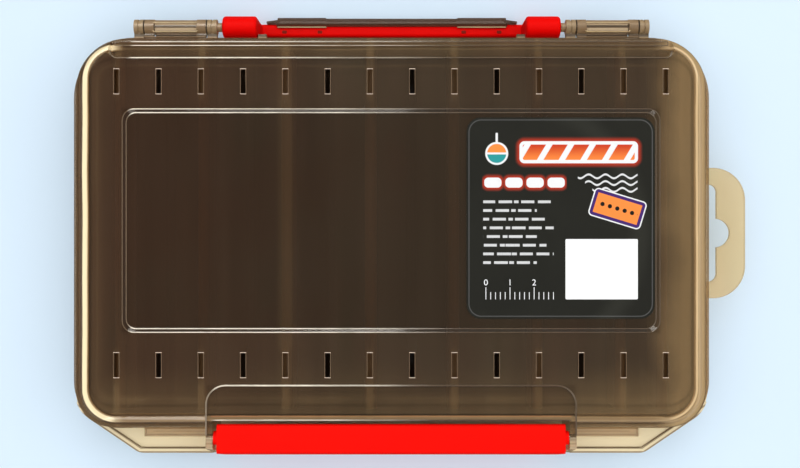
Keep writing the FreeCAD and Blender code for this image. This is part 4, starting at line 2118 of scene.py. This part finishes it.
@dataclass(frozen=True)
class LidTrim:
    """The raised lines and slot rims on one lid, with heights as on the upper one.

    Attributes:
        side: The lid.
        vent_rim: The outer edge of a slot's rim.
        vent_section: The rim's cross-section.
        vent_pitch: The distance between slots.
        vent_count: How many slots a row has.
        vent_rows: Where the rows are.
        bay: The latch's bay, drawn on past its open front.
        bay_front: Where its raised line ends.
        bay_section: That line's cross-section.
        front_line: The raised line on the front edge of the bay's floor.
        front_levels: Where its foot and its top are.
        step_line: The low line behind it.
        step_levels: Where its foot and its top are.
        line_rounding: How far the edges of these two are rounded.
        shelf: The rear shelf, drawn on past its open rear.
        shelf_rear: Where its raised line ends.
        shelf_section: That line's cross-section.
        shelf_line: The outline of the two low lines along the shelf.
        shelf_line_section: Their cross-section.
        frame: The frame over the opening of a hinge barrel.
        frame_section: Its cross-section.
        frame_places: The middles of the two barrels.
        window: The raised line round the window.
        window_section: Its cross-section.
        floor_line: The raised line round the window's floor.
        floor_section: Its cross-section.
    """

    side: Side
    vent_rim: Patch = Patch((-1.27, 1.27), (-5.32, 5.32), 0.15)
    vent_section: Section = Section(0.22, 0.3, PROUD)
    vent_pitch: float = 17.5
    vent_count: int = 14
    vent_rows: Range = (68.2, -49.3)
    bay: Patch = Patch((-77.0, 77.0), (-103.3, -57.4), 8.3)
    bay_front: float = -78.4
    bay_section: Section = Section(0.7, 0.5, PROUD)
    front_line: Patch = Patch((-74.8, 74.8), (-72.48, -72.0), 0.1)
    front_levels: Range = (48.75, 49.05)
    step_line: Patch = Patch((-74.8, 74.8), (-71.0, -70.4), 0.1)
    step_levels: Range = (48.74, 48.86)
    line_rounding: float = 0.04
    shelf: Patch = Patch((-116.5, 116.5), (77.8, 88.5), 2.5)
    shelf_rear: float = 81.0
    shelf_section: Section = Section(0.5, 0.5, PROUD)
    shelf_line: Patch = Patch((-115.5, 115.5), (83.4, 85.3), 0.5)
    shelf_line_section: Section = Section(0.35, 0.4, 47.12)
    frame: Patch = Patch((-10.0, 10.0), (92.6, 97.2), 1.1)
    frame_section: Section = Section(0.6, 0.45, 27.95)
    frame_places: Range = (-94.0, 94.0)
    window: Patch = Patch((-111.6, 111.6), (-36.0, 57.1), 5.05)
    window_section: Section = Section(0.5, 0.45, 49.99)
    floor_line: Patch = Patch((-110.1, 110.1), (-34.5, 55.6), 4.3)
    floor_section: Section = Section(0.5, 0.45, 49.34)

    def named(self, piece: str) -> str:
        """Return a piece's name with its lid's side before it."""
        return f"{self.side.value}_{piece}"

    def placed(self, piece: bpy.types.Object) -> bpy.types.Object:
        """Carry a piece made for the upper lid to this lid.

        Args:
            piece: The piece.

        Returns:
            The piece in its place.
        """
        if self.side is Side.UPPER:
            return piece
        carried = Bench.copies(piece, piece.name, [self.side.turn])
        return Bench.finish(carried, ROUND_SMOOTHING)

    def ring(self, name: str, outline: Patch, section: Section) -> bpy.types.Object:
        """Make a raised line that runs all the way round.

        Args:
            name: The piece's name without its side.
            outline: Its outer edge.
            section: Its cross-section.

        Returns:
            The line.
        """
        return self.placed(Bench.ring(self.named(name), outline, section))

    def open_bead(
        self, name: str, outline: Patch, section: Section, cut: float
    ) -> bpy.types.Object:
        """Make a raised line round a rounded recess that is open on one side.

        Args:
            name: The piece's name without its side.
            outline: The recess, drawn on past its open side.
            section: The line's cross-section.
            cut: Where it is cut off; what lies further from the middle of the lid goes.

        Returns:
            The line.
        """
        bead = Bench.ring(self.named(name), outline, section)
        bpy.ops.object.mode_set(mode="EDIT")
        bpy.ops.mesh.select_all(action="SELECT")
        bpy.ops.mesh.bisect(
            plane_co=(0, cut * MM, section.crest * MM),
            plane_no=(0, 1 if cut > 0 else -1, 0),
            clear_outer=True,
            use_fill=True,
        )
        return self.placed(Bench.finish(bead, ROUND_SMOOTHING))

    def straight(self, name: str, outline: Patch, levels: Range) -> bpy.types.Object:
        """Make one straight raised line with rounded edges.

        Args:
            name: The piece's name without its side.
            outline: Its outline.
            levels: Where its foot and its top are.

        Returns:
            The line.
        """
        return self.placed(Bench.pad(self.named(name), outline, levels, self.line_rounding))

    def vent_rims(self) -> bpy.types.Object:
        """Make the rims of all slots.

        Returns:
            The rims as one piece.
        """
        rim = Bench.ring("vent_rim", self.vent_rim, self.vent_section)
        first = -self.vent_pitch * (self.vent_count - 1) / 2
        across = [first + index * self.vent_pitch for index in range(self.vent_count)]
        return self.placed(Bench.repeat(rim, self.named("vent_rims"), across, self.vent_rows))

    def hinge_frames(self) -> bpy.types.Object:
        """Make the rounded frames over the openings in the two hinge barrels."""
        frame = Bench.ring("hinge_frame", self.frame, self.frame_section)
        return Bench.repeat(frame, "hinge_frames", self.frame_places)

    def pieces(self) -> Iterator[tuple[bpy.types.Object, Finish]]:
        """Make the lid's trim, one piece after another.

        Yields:
            Each piece with its finish.
        """
        yield self.vent_rims(), RIM_SMOKE
        yield self.open_bead("bay_bead", self.bay, self.bay_section, self.bay_front), BEAD_SMOKE
        yield self.straight("bay_front_line", self.front_line, self.front_levels), BEAD_SMOKE
        yield self.straight("bay_step_line", self.step_line, self.step_levels), STEP_SMOKE
        shelf = self.open_bead("shelf_bead", self.shelf, self.shelf_section, self.shelf_rear)
        yield shelf, BEAD_SMOKE
        yield self.ring("shelf_lines", self.shelf_line, self.shelf_line_section), BEAD_SMOKE
        if self.side is Side.UPPER:
            # The frames' pale finish paints the highlights round the openings.
            yield self.hinge_frames(), FRAME_SMOKE
        yield self.ring("window_outer_bead", self.window, self.window_section), BEAD_SMOKE
        yield self.ring("window_inner_bead", self.floor_line, self.floor_section), BEAD_SMOKE


class Lids(Assembly):
    """The two lids with their trim."""

    def build(self) -> None:
        """Dress both lids and add their rims and beads."""
        self.dress(LID_SMOKE, "upper_lid", "lower_lid")
        for side in Side:
            for piece, finish in LidTrim(side).pieces():
                self.add(piece, finish, f"{side.value}_lid", SMOKE_SLOT)


class Tray(Assembly):
    """The tray with its dividers."""

    def build(self) -> None:
        """Dress the tray and its dividers."""
        self.dress(TRAY_SMOKE, "tray")
        self.dress(DIVIDER_SMOKE, *(name for name in self.nodes if "_divider_" in name))


class Latches(Assembly):
    """The two latches, their pins and the hinge pins."""

    def build(self) -> None:
        """Dress the latches and pins."""
        self.dress(LATCH_RED, "upper_latch", "lower_latch")
        self.dress(PIN_STEEL, "upper_latch_pins", "lower_latch_pins")
        self.dress(PIN_STEEL, "right_hinge_pin", "left_hinge_pin")


@dataclass
class Handle(Assembly):
    """The carrying handle and its cover strip with the strip's clips.

    Attributes:
        lip: The pale lip along a clip, painted as the highlight on the clip's edge.
        lip_levels: Where its foot and its top are.
        lip_rounding: How far its edges are rounded.
        lip_places: The middles of the clips.
        foot: A clip's foot that comes through the grip.
        foot_levels: Where its lower and upper ends are.
        foot_rounding: How far its edges are rounded.
        foot_places: The middles of the feet.
    """

    lip: Patch = Patch((-11.0, 11.0), (98.0, 98.5), 0.15)
    lip_levels: Range = (9.9, 10.02)
    lip_rounding: float = 0.04
    lip_places: Range = (-40.5, 40.5)
    foot: Patch = Patch((-1.0, 1.0), (95.6, 96.9), 0.3)
    foot_levels: Range = (8.3, 8.8)
    foot_rounding: float = 0.15
    foot_places: tuple[float, ...] = (-48.5, -32.5, 32.5, 48.5)

    def lips(self) -> bpy.types.Object:
        """Make the pale lip along each clip, painted as the highlight on its edge."""
        lip = Bench.pad("cover_lip", self.lip, self.lip_levels, self.lip_rounding)
        return Bench.repeat(lip, "cover_clip_lips", self.lip_places)

    def feet(self) -> bpy.types.Object:
        """Make the clips' feet on the grip."""
        foot = Bench.pad("cover_foot", self.foot, self.foot_levels, self.foot_rounding)
        return Bench.repeat(foot, "cover_clip_feet", self.foot_places)

    def build(self) -> None:
        """Dress the handle and its strip and add the strip's clips."""
        self.dress(HANDLE_RED, "carry_handle")
        self.dress(COVER_SMOKE, "handle_cover")
        # The lips' pale finish is a painted highlight.
        self.add(self.lips(), FRAME_SMOKE, "handle", SMOKE_SLOT)
        self.add(self.feet(), COVER_SMOKE, "handle", SMOKE_SLOT)


class HangTab(Assembly):
    """The tab that hangs the box up."""

    def build(self) -> None:
        """Dress the tab."""
        self.dress(TAB_SMOKE, "hang_tab")


@dataclass
class Label(Assembly):
    """The label on the upper lid, with places from its left front corner.

    Attributes:
        left: The label's left edge in the box's frame.
        front: Its front edge in the box's frame.
        top: Its upper face in the box's frame.
        print_height: How far raised print stands up.
        panel: The write-on panel.
        ruler: The first and last mark of the ruler.
        marks: The foot and head of its longest marks.
        mark_width: A mark's width.
        mark_radius: Its corner radius.
        mark_pitch: The distance between marks.
        long_every: How many marks there are from one long mark to the next.
        short_share: A short mark's length as a share of a long one's.
        figures: The figures over the ruler.
        figure_size: Their size.
        figure_gap: How far they stand from the long marks.
    """

    left: float = 31.3
    front: float = -30.1
    top: float = 49.3
    print_height: float = 0.03
    panel: Patch = Patch((41.0, 71.0), (8.0, 33.0), 0.5)
    ruler: Range = (8.0, 36.0)
    marks: Range = (8.0, 13.0)
    mark_width: float = 0.3
    mark_radius: float = 0.05
    mark_pitch: float = 2.0
    long_every: int = 5
    short_share: float = 0.6
    figures: str = "012"
    figure_size: float = 3.6
    figure_gap: float = 0.8

    def raised(self, name: str, outline: Patch) -> bpy.types.Object:
        """Make one thin raised shape with round corners.

        Args:
            name: The piece's name.
            outline: Its outline on the label.

        Returns:
            The shape.
        """
        levels = (self.top, self.top + self.print_height)
        return Bench.pad(name, outline.moved(self.left, self.front), levels)

    def ruler_marks(self) -> bpy.types.Object:
        """Make the ruler's marks.

        Returns:
            The marks as one piece.
        """
        first, last = self.ruler
        half = self.mark_width / 2
        mark = self.raised(
            "ruler_mark", Patch((first - half, first + half), self.marks, self.mark_radius)
        )
        foot = Matrix.Translation((0, (self.front + self.marks[0]) * MM, 0))
        steps = []
        for index in range(int((last - first) / self.mark_pitch) + 1):
            share = self.short_share if index % self.long_every else 1.0
            shorter = foot @ Matrix.Scale(share, 4, (0, 1, 0)) @ foot.inverted()
            steps.append(Matrix.Translation((index * self.mark_pitch * MM, 0, 0)) @ shorter)
        return Bench.copies(mark, "label_ruler_marks", steps)

    def ruler_figures(self) -> Iterator[bpy.types.Object]:
        """Make the figures over the ruler's long marks, one after another.

        Yields:
            Each figure.
        """
        up = self.front + self.marks[1] + self.figure_gap
        for index, text in enumerate(self.figures):
            across = self.left + self.ruler[0] + index * self.long_every * self.mark_pitch
            place = Vector((across, up, self.top + self.print_height / 2))
            name = f"label_figure_{index}"
            yield Bench.figure(name, text, self.figure_size, place, self.print_height)

    def build(self) -> None:
        """Dress the label and add its raised print."""
        self.dress(PrintedCard("label_card", self.left, self.front), "label")
        panel = self.raised("label_panel", self.panel)
        self.add(panel, WHITE_PANEL, "upper_lid", PRINT_SLOT)
        self.add(self.ruler_marks(), WHITE_INK, "upper_lid", PRINT_SLOT)
        for figure in self.ruler_figures():
            self.add(figure, WHITE_INK, "upper_lid", PRINT_SLOT)


@dataclass(frozen=True)
class Lamp:
    """One soft panel of light.

    Attributes:
        name: Its name.
        place: The middle of the panel.
        aim: The place that it faces.
        size: Its width and height.
        brightness: The light that leaves it.
        colour: The light's colour.
        in_gloss: Whether it shows in reflections.
        on_matte: Whether it lights matte surfaces.
    """

    name: str
    place: Triple
    aim: Triple
    size: Range
    brightness: float
    colour: Colour = (1.0, 1.0, 1.0)
    in_gloss: bool = True
    on_matte: bool = True

    def build(self) -> None:
        """Hang the panel."""
        place = Vector(self.place) * MM
        width, height = (side * MM for side in self.size)
        bpy.ops.object.light_add(type="AREA", location=place)
        lamp = bpy.context.object
        lamp.name = self.name
        lamp.data.shape = "RECTANGLE"
        lamp.data.size = width
        lamp.data.size_y = height
        lamp.data.energy = self.brightness * width * height * math.pi
        lamp.data.color = self.colour
        lamp.visible_camera = False
        lamp.visible_glossy = self.in_gloss
        lamp.visible_diffuse = self.on_matte
        facing = Vector(self.aim) * MM - place
        lamp.rotation_euler = facing.to_track_quat("-Z", "Y").to_euler()


WARM_LIGHT = (1.0, 0.86, 0.62)
SOFT_WHITE = (1.0, 0.96, 0.9)
LAMPS = (
    Lamp(
        "overhead",
        place=(100.0, 100.0, 1500.0),
        aim=(0.0, 0.0, 0.0),
        size=(2400.0, 2400.0),
        brightness=2.02,
        in_gloss=False,
    ),
    Lamp(
        "left_edge",
        place=(-207.5, 5.0, 128.0),
        aim=(-130.0, 5.0, 48.0),
        size=(500.0, 90.0),
        brightness=1.6,
        colour=WARM_LIGHT,
        on_matte=False,
    ),
    Lamp(
        "right_edge",
        place=(222.0, 5.0, 140.0),
        aim=(130.0, 5.0, 48.0),
        size=(400.0, 50.0),
        brightness=1.4,
        colour=WARM_LIGHT,
        on_matte=False,
    ),
    Lamp(
        "rear_edge",
        place=(-60.0, 190.0, 135.0),
        aim=(-60.0, 95.0, 30.0),
        size=(440.0, 60.0),
        brightness=1.6,
        colour=WARM_LIGHT,
        on_matte=False,
    ),
    Lamp(
        "front_left",
        place=(-160.0, -470.0, 680.0),
        aim=(0.0, 0.0, 50.0),
        size=(420.0, 300.0),
        brightness=3.5,
        colour=SOFT_WHITE,
        on_matte=False,
    ),
    Lamp(
        "rear_left",
        place=(-160.0, 480.0, 680.0),
        aim=(0.0, 0.0, 50.0),
        size=(420.0, 300.0),
        brightness=7.0,
        colour=SOFT_WHITE,
        on_matte=False,
    ),
)


@dataclass(frozen=True)
class Studio:
    """The paper, the light and the camera.

    Attributes:
        camera_place: Where the camera stands.
        view_angle: The angle across the view, in degrees.
        film: The film's width.
        view_range: The nearest and farthest that the camera sees.
        paper_width: The width of the paper.
        paper_top: The height of its upper side.
        floor_radius: The corner radius of the paper that lies.
        wall_radius: The corner radius of the paper that stands.
        wall_height: How high that one is.
        sky_colours: The room's colours from the horizon upwards.
        sky_brightness: How bright they are.
    """

    camera_place: Triple = (3.7, 5.0, 500.0)
    view_angle: float = 40.4
    film: float = 36.0
    view_range: Range = (10.0, 50000.0)
    paper_width: float = 12000.0
    paper_top: float = -0.1
    floor_radius: float = 500.0
    wall_radius: float = 2500.0
    wall_height: float = 5000.0
    sky_colours: tuple[tuple[float, Colour], ...] = (
        (0.02, (0.26, 0.19, 0.12)),
        (0.10, (0.40, 0.34, 0.28)),
        (0.45, (0.80, 0.84, 0.88)),
        (0.90, (0.14, 0.135, 0.13)),
    )
    sky_brightness: float = 0.75

    def camera(self) -> None:
        """Set up the camera straight over the box."""
        place = Vector(self.camera_place) * MM
        bpy.ops.object.camera_add(location=place, rotation=(0, 0, 0))
        camera = bpy.context.object
        camera.name = "camera"
        camera.data.sensor_width = self.film
        camera.data.lens = self.film / 2 / math.tan(math.radians(self.view_angle / 2))
        camera.data.clip_start, camera.data.clip_end = (end * MM for end in self.view_range)
        bpy.context.scene.camera = camera

    def paper(self) -> None:
        """Lay the paper and stand a wall of it round the studio."""
        half = self.paper_width / 2
        lying = Patch((-half, half), (-half, half), self.floor_radius)
        standing = Patch((-half, half), (-half, half), self.wall_radius)
        floor = Bench.finish(Bench.sheet("floor_paper", lying, self.paper_top))
        wall = Bench.sheet("wall_paper", standing, self.paper_top)
        bpy.ops.mesh.delete(type="ONLY_FACE")
        bpy.ops.mesh.select_all(action="SELECT")
        Bench.lift(self.wall_height)
        Bench.finish(wall)
        wall.visible_diffuse = False
        for paper in (floor, wall):
            paint(paper, STUDIO_PAPER)
            paper.visible_glossy = False

    def sky(self) -> None:
        """Fill the room with light, darker overhead so that flat faces keep their colour."""
        world = bpy.data.worlds.new("room")
        bpy.context.scene.world = world
        world.use_nodes = True
        room = Nodes(world.node_tree)
        direction = room.node("ShaderNodeTexCoord").outputs["Generated"]
        height = room.node("ShaderNodeSeparateXYZ", {0: direction}).outputs["Z"]
        ramp = room.node("ShaderNodeValToRGB", {0: height}, stops=self.sky_colours)
        glow = {0: ramp.outputs[0], 1: self.sky_brightness}
        shade = room.node("ShaderNodeBackground", glow)
        room.node("ShaderNodeOutputWorld", {0: shade.outputs[0]})

    def build(self) -> None:
        """Set up everything that isn't part of the box."""
        self.camera()
        self.paper()
        self.sky()
        for lamp in LAMPS:
            lamp.build()
        bpy.context.scene.view_settings.view_transform = "Standard"


def main() -> None:
    """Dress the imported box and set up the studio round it."""
    logging.basicConfig(level=logging.INFO, format="%(name)s: %(message)s")
    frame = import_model()
    Studio().build()
    for kind in (Lids, Tray, Latches, Handle, HangTab, Label):
        assembly = kind(frame["nodes"])
        assembly.build()
        for name in assembly.made:
            LOG.info("%s: %s", kind.__name__, name)


if __name__ == "__main__":
    main()
